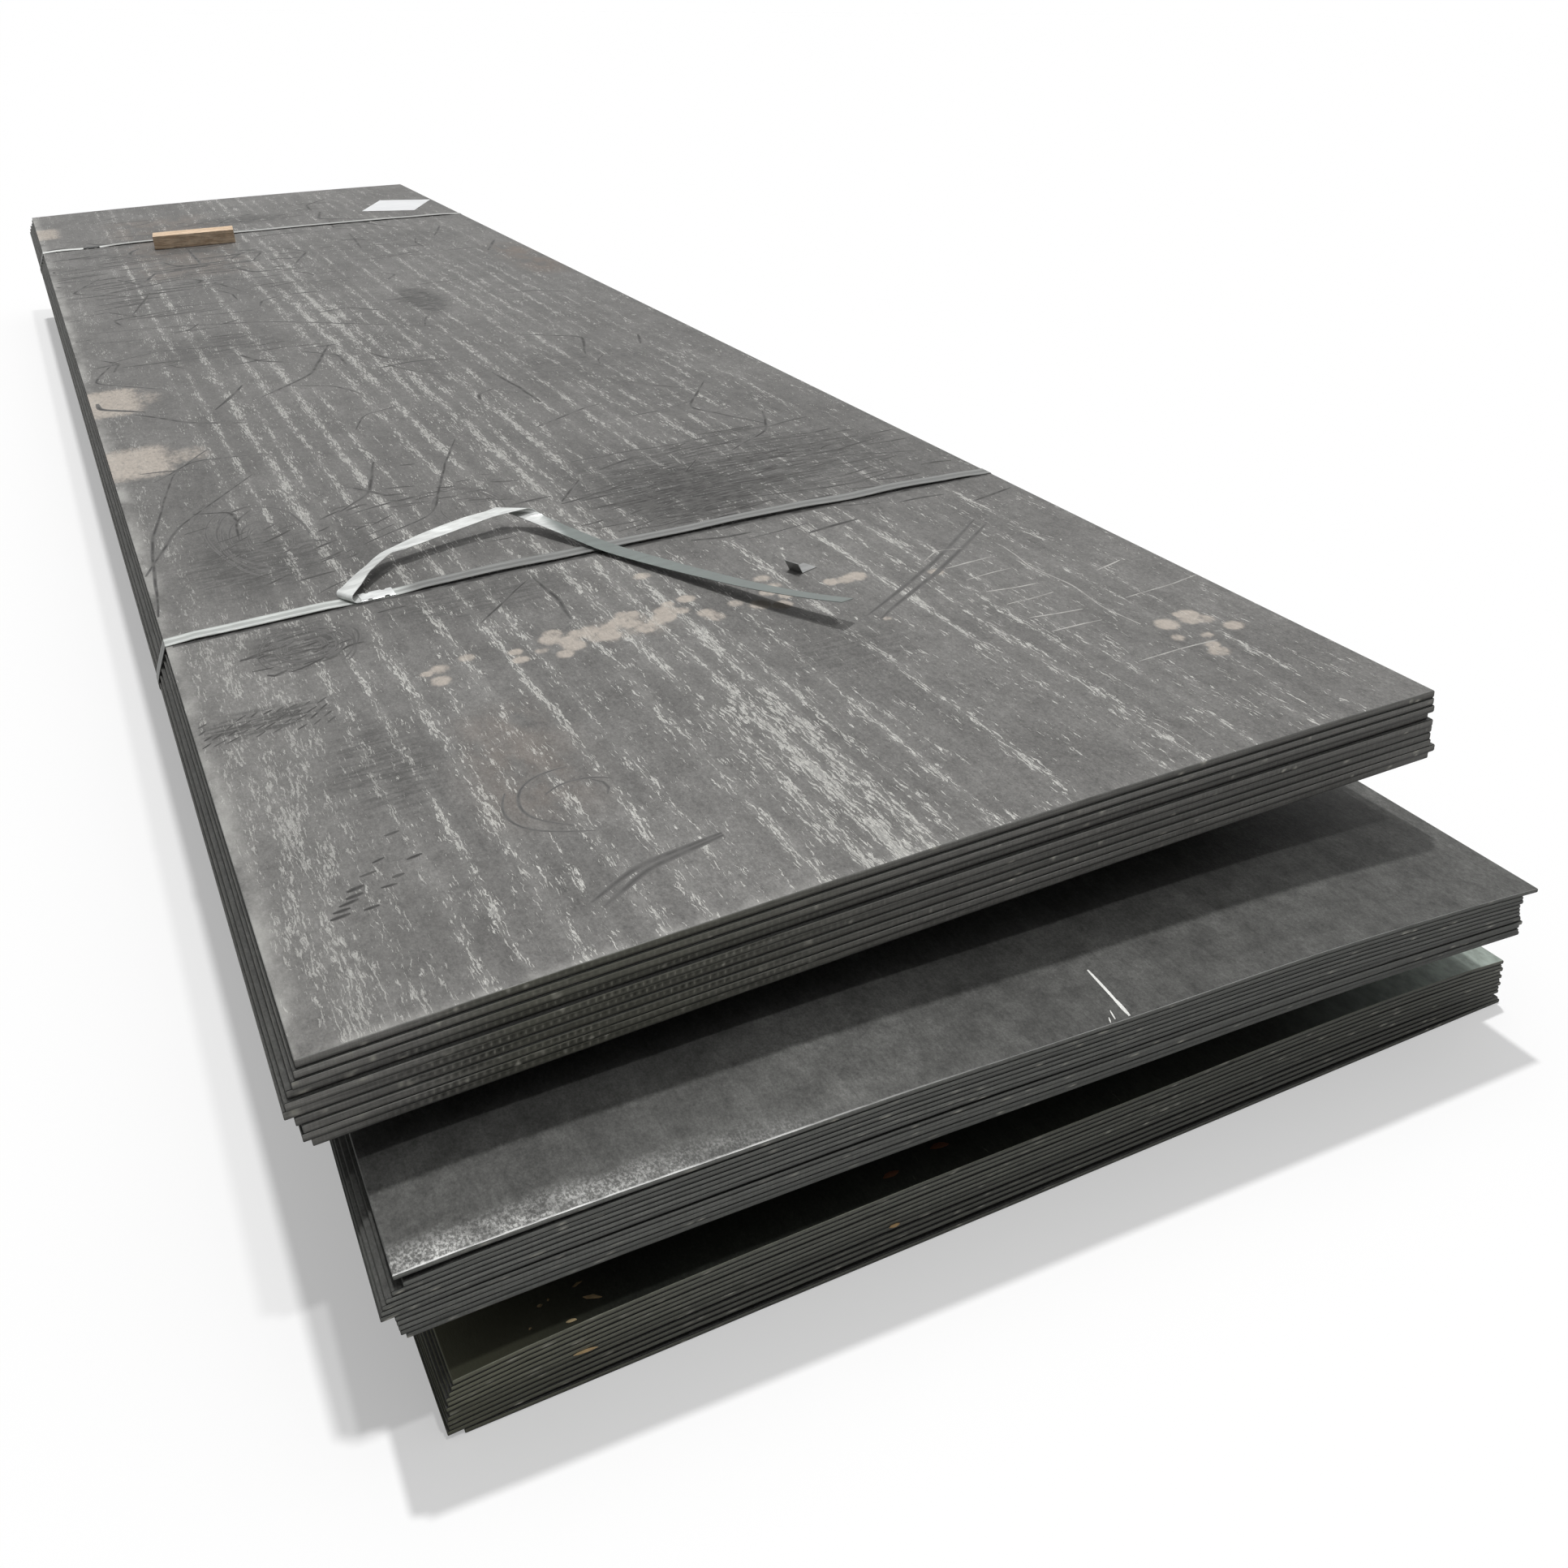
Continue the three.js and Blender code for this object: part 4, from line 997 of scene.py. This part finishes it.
lifted_strap("front", strap_material("strap_front", srgb(176, 179, 176), srgb(116, 117, 115), 0.35))
lifted_strap("back", strap_material("strap_back", srgb(206, 208, 205), srgb(158, 159, 156), 0.19))
second_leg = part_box("front_seal")[1].x + SECOND_LEG
LOOSE_STEEL = steel_material("strap_loose", srgb(206, 208, 206), turn=second_leg, dull=srgb(118, 125, 122))
smooth_copy("loose_strap_end", "strap_loose_end", LOOSE_STEEL)
smooth_copy("blank_card", "card_sheet", card_material())
SEAL_MATERIALS = {
    "front_seal": steel_material("seal_steel", srgb(232, 234, 233), 0.5, 0.34),
    "back_seal": steel_material("seal_dull", srgb(66, 67, 66), 0.4, 0.45),
    "loose_seal": steel_material("seal_dark", srgb(150, 151, 150), 0.5, 0.34),
}
for node, material in SEAL_MATERIALS.items():
    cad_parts[node].data.materials.clear()
    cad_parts[node].data.materials.append(material)


# ---- marks on the plates

SCUFF_HEIGHT = 0.00006
CHALK_HEIGHT = 0.00015
LEDGE_CHALK_HEIGHT = 0.00025
FAR_ARCS = 64  # short scratches over the whole plate
STRAP_SHADOW_OFFSET = 0.62  # the painted shadow line in front of the front strap, in strap widths from its middle
# Long scratches and then pairs of smears, each by its points.
ARCS = (
    ((0.004, 1.42), (0.08, 1.65), (0.25, 1.9)), ((0.004, 1.22), (0.03, 1.6), (0.11, 2.0), (0.19, 2.13)),
    ((0.3, 1.33), (0.5, 1.45), (0.55, 1.6), (0.6, 1.75), (0.66, 1.9)),
    ((0.563, 1.046), (0.57, 0.933), (0.56, 0.849)), ((0.725, 1.387), (0.795, 1.494)),
    ((0.557, 1.049), (0.436, 0.91)),
    ((0.82, 1.61), (0.92, 1.618), (1.02, 1.608), (1.165, 1.625), (1.3, 1.623)),
    ((0.837, 1.89), (0.977, 1.98), (1.013, 1.99)),
    ((1.045, 1.48), (1.177, 1.425), (1.315, 1.354), (1.48, 1.302)),
    ((0.05, 3.5), (0.25, 3.45), (0.5, 3.35), (0.65, 3.22), (0.9, 3.0)), ((0.15, 3.17), (0.43, 3.08)),
    ((0.36, 2.5), (0.5, 2.65), (0.6, 2.95)), ((0.46, 4.4), (0.455, 4.8)), ((0.049, 3.362), (0.175, 3.322)),
    ((0.084, 2.522), (0.187, 2.37), (0.294, 2.294)), ((0.046, 4.833), (0.185, 4.847), (0.287, 4.671)),
    ((0.065, 3.757), (0.119, 3.78), (0.204, 3.636)), ((0.455, 4.05), (0.518, 3.821)),
    ((0.651, 3.381), (0.743, 3.394), (0.815, 3.304)), ((0.475, 1.838), (0.424, 1.639), (0.348, 1.555)),
    ((0.351, 1.532), (0.452, 1.565), (0.555, 1.58)), ((0.211, 1.673), (0.177, 1.624), (0.166, 1.507)),
    ((0.99, 4.4), (1.02, 4.75)), ((1.36, 4.1), (1.44, 4.3)), ((0.19, 4.3), (0.25, 4.15)),
    ((1.31, 2.5), (1.34, 2.6)),
)
SMEARS = (
    ((0.33, 0.1), (0.4, 0.14), (0.51, 0.155)), ((0.34, 0.085), (0.41, 0.13), (0.51, 0.15)),
    ((0.96, 0.62), (1.15, 0.75), (1.33, 0.9)), ((0.97, 0.6), (1.16, 0.73), (1.34, 0.875)),
)
# Rubbed places: the middle, the spread each way, how many strokes, their turn and longest reach.
RUBBED = (
    ((1.08, 1.38), (0.17, 0.12), 150, 4, 0.14), ((0.93, 1.32), (0.06, 0.11), 100, 4, 0.11),
    ((0.95, 3.38), (0.03, 0.11), 16, 8, 0.06), ((0.7, 5.32), (0.14, 0.07), 22, 15, 0.07),
    ((0.23, 1.42), (0.08, 0.13), 34, 28, 0.07), ((0.52, 1.52), (0.12, 0.13), 26, -15, 0.06),
    ((0.16, 0.95), (0.05, 0.05), 22, 10, 0.05), ((0.4, 3.1), (0.14, 0.12), 18, 6, 0.1),
    ((0.3, 4.2), (0.16, 0.45), 100, 2, 0.2), ((0.9, 4.6), (0.3, 0.5), 40, 3, 0.14),
)
# Swirls: the middle, the reach each way and how many strokes.
SWIRLS = (
    ((0.185, 0.97), (0.085, 0.1), 20), ((0.21, 1.5), (0.09, 0.24), 9), ((0.56, 1.45), (0.11, 0.22), 7),
    ((0.4, 0.33), (0.1, 0.1), 4),
)
# Treads, as rows of dashes: the row's path, how many dashes, their length, width and turn, and
# the share of them that is there.
TREADS = (
    (((0.175, 0.36), (0.085, 0.215)), 13, 0.019, 0.0075, 8, 0.85),
    (((0.2, 0.31), (0.12, 0.22)), 7, 0.016, 0.006, 5, 0.6),
    *((((0.012, 0.715 + offset), (0.17, 0.705 + offset)), 10, 0.018, 0.005, 40, 0.75)
      for offset in (0.0, 0.022, 0.044, 0.066)),
)
# Chalk strokes on the top plate, each by its points.
CHALK = (
    ((1.34, 0.475), (1.42, 0.482), (1.497, 0.494)), ((1.21, 0.278), (1.28, 0.281), (1.357, 0.279)),
    ((1.3, 0.76), (1.285, 0.66), (1.3, 0.56), (1.285, 0.46), (1.295, 0.38)),
    ((1.15, 0.77), (1.19, 0.8), (1.235, 0.79)), ((1.37, 0.59), (1.4, 0.6), (1.43, 0.61)),
)
TICKS = (0.725, 0.665, 0.605, 0.545, 0.485, 0.425)  # how far along the plate each tick lies
# The middle bundle's chalk strokes: the path, width and spacing of points.
LEDGE_CHALK = (
    (((0.8383, 0.0988), (0.8346, 0.0524), (0.8301, 0.004)), 0.0045, 0.008),
    (((0.8335, 0.04), (0.8301, 0.004)), 0.0065, 0.006),
    (((0.816, 0.022), (0.8115, 0.006)), 0.0025, 0.005), (((0.807, 0.012), (0.803, 0.003)), 0.002, 0.004),
)


def heading(degrees):
    """The direction that is turned that far from the X axis."""
    angle = math.radians(degrees)
    return np.array([math.cos(angle), math.sin(angle)])


class Marks:
    """Thin raised strokes that lie on a bundle's top plate, gathered into one mesh."""

    def __init__(self, bundle, height):
        self.plate = Plate(bundle, 0)
        self.height = height
        self.points, self.faces, self.fades = [], [], []

    def stroke(self, path, width, wave=0.0, source=None, spacing=0.012):
        """A stroke through the path's points, narrow at both ends."""
        path = np.array(path, float)
        reach = np.concatenate([[0], np.cumsum(np.hypot(*np.diff(path, axis=0).T))])
        count = max(4, int(reach[-1] / spacing))
        at = np.linspace(0, reach[-1], count)
        line = np.stack([np.interp(at, reach, path[:, axis]) for axis in (0, 1)], -1)
        for _ in range(count // 6 if len(path) > 2 else 0):
            line[1:-1] = (line[:-2] + 2 * line[1:-1] + line[2:]) / 4
        along = np.gradient(line, axis=0)
        along /= np.linalg.norm(along, axis=1)[:, None]
        side = np.stack([-along[:, 1], along[:, 0]], -1)
        if wave:
            line += side * (wave * smooth_noise(source, at, 0.05))[:, None]
        taper = 0.25 + 0.75 * np.sin(np.pi * np.linspace(0.04, 0.96, count)) ** 0.5
        half = (width / 2 * taper)[:, None] * side
        start = len(self.points)
        for offset, lift in ((half, 0.15), (0, 1.0), (-half, 0.15), (0, -1.0)):
            place = line + offset
            z = self.plate.height(place[:, 0], place[:, 1]) + lift * self.height
            self.points += np.column_stack([place, z]).tolist()
            self.fades += [float(lift == 1.0)] * count
        sides = [start + k * count for k in range(4)]
        for i in range(count - 1):
            for a, b in zip(sides, sides[1:] + sides[:1]):
                self.faces.append((a + i, b + i, b + i + 1, a + i + 1))
        self.faces.append(sides[::-1])
        self.faces.append([a + count - 1 for a in sides])

    def dashes(self, path, count, length, width, turn, keep, source):
        """Short strokes at even steps along a straight path, each turned from the X axis."""
        first, last = np.array(path)
        for share in np.linspace(0, 1, count):
            if source.uniform() > keep:
                continue
            middle = first * (1 - share) + last * share + source.normal(0, 0.0015, 2)
            arm = heading(turn + source.normal(0, 6)) * length * source.uniform(0.35, 0.6)
            self.stroke([middle - arm, middle + arm], width * source.uniform(0.7, 1.2))

    def piece(self, name, material):
        mesh = bpy.data.meshes.new(name)
        mesh.from_pydata(self.points, [], self.faces)
        set_values(mesh, "fade", self.fades)
        mesh.materials.append(material)
        bundle = self.plate.bundle
        add_piece(name, mesh, bundle, ())


def mark_material(name, base, roughness, around=None):
    """A smear or chalk line: patchy colour with a fine grain, which can fade at its sides."""
    n = Nodes(name)
    grain = n.noise((0.002, 0.003, 0.003), 4, 0.7)
    patches = n.noise((0.02, 0.03, 0.02), shift=4)
    if around:
        fade = n.math("POWER", n.attribute("fade"), 0.6)
        base = n.over(around, base, fade, n.between(patches, 0.35, 0.6, 0.4, 1.0))
    color = n.shaded(base, (grain, 0.82, 1.18), (patches, 0.88, 1.12))
    rough = n.between(grain, 0.3, 0.7, roughness, roughness + 0.1)
    return n.surface(color, rough, 0.2, (grain, 0.0002, 0.5))


def broader(along):
    """Scratches farther from the plate's front end are broader."""
    return 1 + 0.25 * max(0.0, along - 1.5)


def on_plate(path):
    """The path, kept off the plate's edges."""
    return np.clip(path, (0.015, 0.02), (WIDTH - 0.015, LENGTH - 0.05))


def make_scuffs_and_strap_shadow():
    source = rng(40)
    around = srgb(116, 115, 113)
    marks = Marks("top", SCUFF_HEIGHT)
    for path in ARCS:
        marks.stroke(path, source.uniform(0.007, 0.011) * broader(path[0][1]), 0.001, source)
    # painted shadow: a dark line along the front side of the front strap, drawn with the scuff material
    middle, skew, _ = STRAP_ROUTES["front"]
    drift = math.tan(math.radians(skew)) * WIDTH / 2
    line = middle - STRAP_WIDTH * STRAP_SHADOW_OFFSET
    marks.stroke(((0.01, line - drift), (WIDTH - 0.01, line + drift)), 0.017, 0.0008, source)
    for _ in range(FAR_ARCS):
        start = np.array([source.uniform(0.05, 1.4), source.uniform(1.3, 5.7)])
        angle = source.uniform(0, math.pi)
        step = np.array([math.cos(angle), 1.6 * math.sin(angle)]) * source.uniform(0.06, 0.26)
        bend = np.array([-step[1], step[0]]) * source.uniform(-0.35, 0.35)
        path = on_plate([start, start + step / 2 + bend, start + step])
        marks.stroke(path, source.uniform(0.006, 0.012) * broader(start[1]), 0.0015, source)
    marks.piece("scuff_marks_and_strap_shadow", mark_material("scuff", srgb(46, 45, 44), 0.6, around))

    marks = Marks("top", SCUFF_HEIGHT)
    for path in SMEARS:
        marks.stroke(path, 0.011, 0.001, source)
    for middle, reach, count in SWIRLS:
        for _ in range(count):
            size = source.uniform(0.3, 1.0)
            turn = source.uniform(0, 2 * math.pi) + np.linspace(0, source.uniform(0.9, 3.2), 14)
            wobble = size * (1 + 0.12 * smooth_noise(source, turn, 0.8))
            path = np.stack([np.cos(turn) * wobble * reach[0], np.sin(turn) * wobble * reach[1]], -1)
            marks.stroke(on_plate(path + middle), source.uniform(0.004, 0.007), 0.001, source)
    marks.piece("smear_marks", mark_material("smear", srgb(80, 79, 78), 0.6, around))

    marks = Marks("top", SCUFF_HEIGHT)
    for tread in TREADS:
        marks.dashes(*tread, source)
    for middle, spread, count, turn, longest in RUBBED:
        for _ in range(count):
            centre = source.normal(middle, spread)
            arm = heading(turn + source.normal(0, 9)) * longest * source.uniform(0.15, 0.5)
            path = [centre - arm, centre + source.normal(0, 0.004, 2), centre + arm]
            width = source.uniform(0.004, 0.011) * broader(centre[1])
            marks.stroke(on_plate(path), width, 0.001, source)
    marks.piece("tread_marks", mark_material("tread", srgb(48, 47, 46), 0.6, srgb(102, 101, 99)))


def make_chalk():
    """Strokes of chalk with no meaning: ticks, a wavy underline and two long lines."""
    source = rng(41)
    marks = Marks("top", CHALK_HEIGHT)
    strokes = list(CHALK)
    for y in TICKS:
        slant = source.uniform(-0.015, 0.015)
        strokes.append(((1.165, y), (1.21, y + slant / 2), (1.255, y + slant)))
    for path in strokes:
        marks.stroke(path, source.uniform(0.003, 0.0045), 0.0015, source, 0.006)
    marks.piece("chalk_marks", mark_material("chalk", srgb(196, 194, 190), 0.9, srgb(140, 139, 136)))
    marks = Marks("middle", LEDGE_CHALK_HEIGHT)
    for path, width, spacing in LEDGE_CHALK:
        marks.stroke(path, width, spacing=spacing)
    marks.piece("ledge_mark", mark_material("ledge_chalk", srgb(236, 236, 232), 0.8))


make_scuffs_and_strap_shadow()
make_chalk()


# ---- splinters and rust flakes

# Slivers: the plate's row, how far down its thickness they lie, place, length, width and turn.
SPLINTERS = (
    (0, 0, 0.1451, 0.05, 0.012, 0.003, 20), (0, 0, 0.1532, 0.0258, 0.02, 0.005, -25),
    (0, 0, 0.1023, 0.0427, 0.006, 0.004, 10), (0, 0, 0.1246, 0.008, 0.012, 0.004, -10),
    (0, 0, 0.112, 0.046, 0.004, 0.0025, 80), (0, 0, 0.085, 0.02, 0.004, 0.0025, 40),
    (5, 1, 0.134, -0.0015, 0.026, 0.004, -4), (6, 1, 0.5, -0.001, 0.014, 0.005, 5),
)
RUST_FLAKES = ((0, 0, 0.511, 0.0286, 0.022, 0.008, 5), (0, 0, 0.584, 0.0422, 0.024, 0.009, -8))

# A sliver's rings: share of its length and of its full size. Its section: across and up.
SLIVER_RINGS = ((-0.5, 0.15), (-0.28, 0.8), (0.05, 1.0), (0.3, 0.7), (0.5, 0.12))
SLIVER_SECTION = ((-0.5, 0.1), (0.4, 0.0), (0.5, 0.5), (0.0, 1.0), (-0.45, 0.7))


def sliver(form, place, length, width, turn, source):
    """An uneven spindle that lies flat at the place."""
    along = Vector((*heading(turn), 0))
    side = Vector((-along.y, along.x, 0))
    rings = []
    for share, size in SLIVER_RINGS:
        middle = Vector(place) + along * length * share + side * source.uniform(-0.0005, 0.0005)
        ring = []
        for a, b in SLIVER_SECTION:
            rise = Vector((0, 0, b * (width * 0.3) * size * source.uniform(0.8, 1.1)))
            ring.append(form.verts.new(middle + side * a * width * size + rise))
        rings.append(ring)
    for first, second in zip(rings, rings[1:]):
        for k in (0, 1, 2, 3, -1):
            form.faces.new((first[k], first[k + 1], second[k + 1], second[k]))
    form.faces.new(rings[0][::-1])
    form.faces.new(rings[-1])


def make_slivers(name, rows, material, source):
    form = bmesh.new()
    for row, depth, x, y, length, width, turn in rows:
        place = (x, y, Plate("bottom", row).height(x, y, depth))
        sliver(form, place, length, width, turn, source)
    add_piece(name, finished(form, name, material), "bottom", ())


sliver_source = rng(42)
SPLINTER_WOOD = timber_material("splinter_wood", srgb(232, 208, 162), srgb(196, 162, 118), "X")
make_slivers("splinters", SPLINTERS, SPLINTER_WOOD, sliver_source)
RUST = mark_material("rust_flake", srgb(126, 84, 62), 0.85)
make_slivers("rust_flakes", RUST_FLAKES, RUST, sliver_source)


# ---- floor, world and lights

FLOOR_DROP = 0.0005  # the floor lies this far under the stack
FLOOR_REACH = 60
FLOOR_BOUNCE = 0.13  # how pale the floor is to the light that it throws back on the stack
FLOOR_SEEN = (0.64, 0.36)  # its colour and glow to the camera and in reflections
SKY_LEVEL = 0.62  # the light from straight above
# Where each sun stands and how strong it is.
SUNS = {"key": (174, 75.5, 1.78), "second": (25, 71, 0.62)}


def even(level):
    return (level, level, level, 1)


def make_floor():
    mesh = bpy.data.meshes.new("floor")
    signs = ((-1, -1), (1, -1), (1, 1), (-1, 1))
    mesh.from_pydata([(x * FLOOR_REACH, y * FLOOR_REACH, 0) for x, y in signs], [], [(0, 1, 2, 3)])
    floor = new_object("floor", mesh)
    floor.location.z = cad_bounds[0][2] - FLOOR_DROP
    n = Nodes("floor")
    seen = n.seen_by("Camera", "Glossy")
    color, glow = FLOOR_SEEN
    mesh.materials.append(n.principled({
        "Base Color": n.mix(seen, even(FLOOR_BOUNCE), even(color)), "Roughness": 0.9,
        "Specular IOR Level": 0, "Emission Color": n.mix(seen, even(0), even(glow)),
        "Emission Strength": 1,
    }))


def make_world():
    """A soft light from above, and white to the camera and in reflections."""
    world = bpy.data.worlds.new("studio")
    bpy.context.scene.world = world
    n = Nodes(owner=world)
    direction = n.add("ShaderNodeTexCoord")["Generated"]
    rise = n.add("ShaderNodeSeparateXYZ", {0: direction})[2]
    light = n.grey(n.between(rise, 0.5, 1.0, 0.0, SKY_LEVEL))
    color = n.mix(n.seen_by("Camera", "Glossy", "Transmission"), light, even(1))
    sky = n.add("ShaderNodeBackground", {"Color": color, "Strength": 1})[0]
    n.add("ShaderNodeOutputWorld", {"Surface": sky})


make_floor()
make_world()
for name, direction in SUNS.items():
    sun(name, *direction)
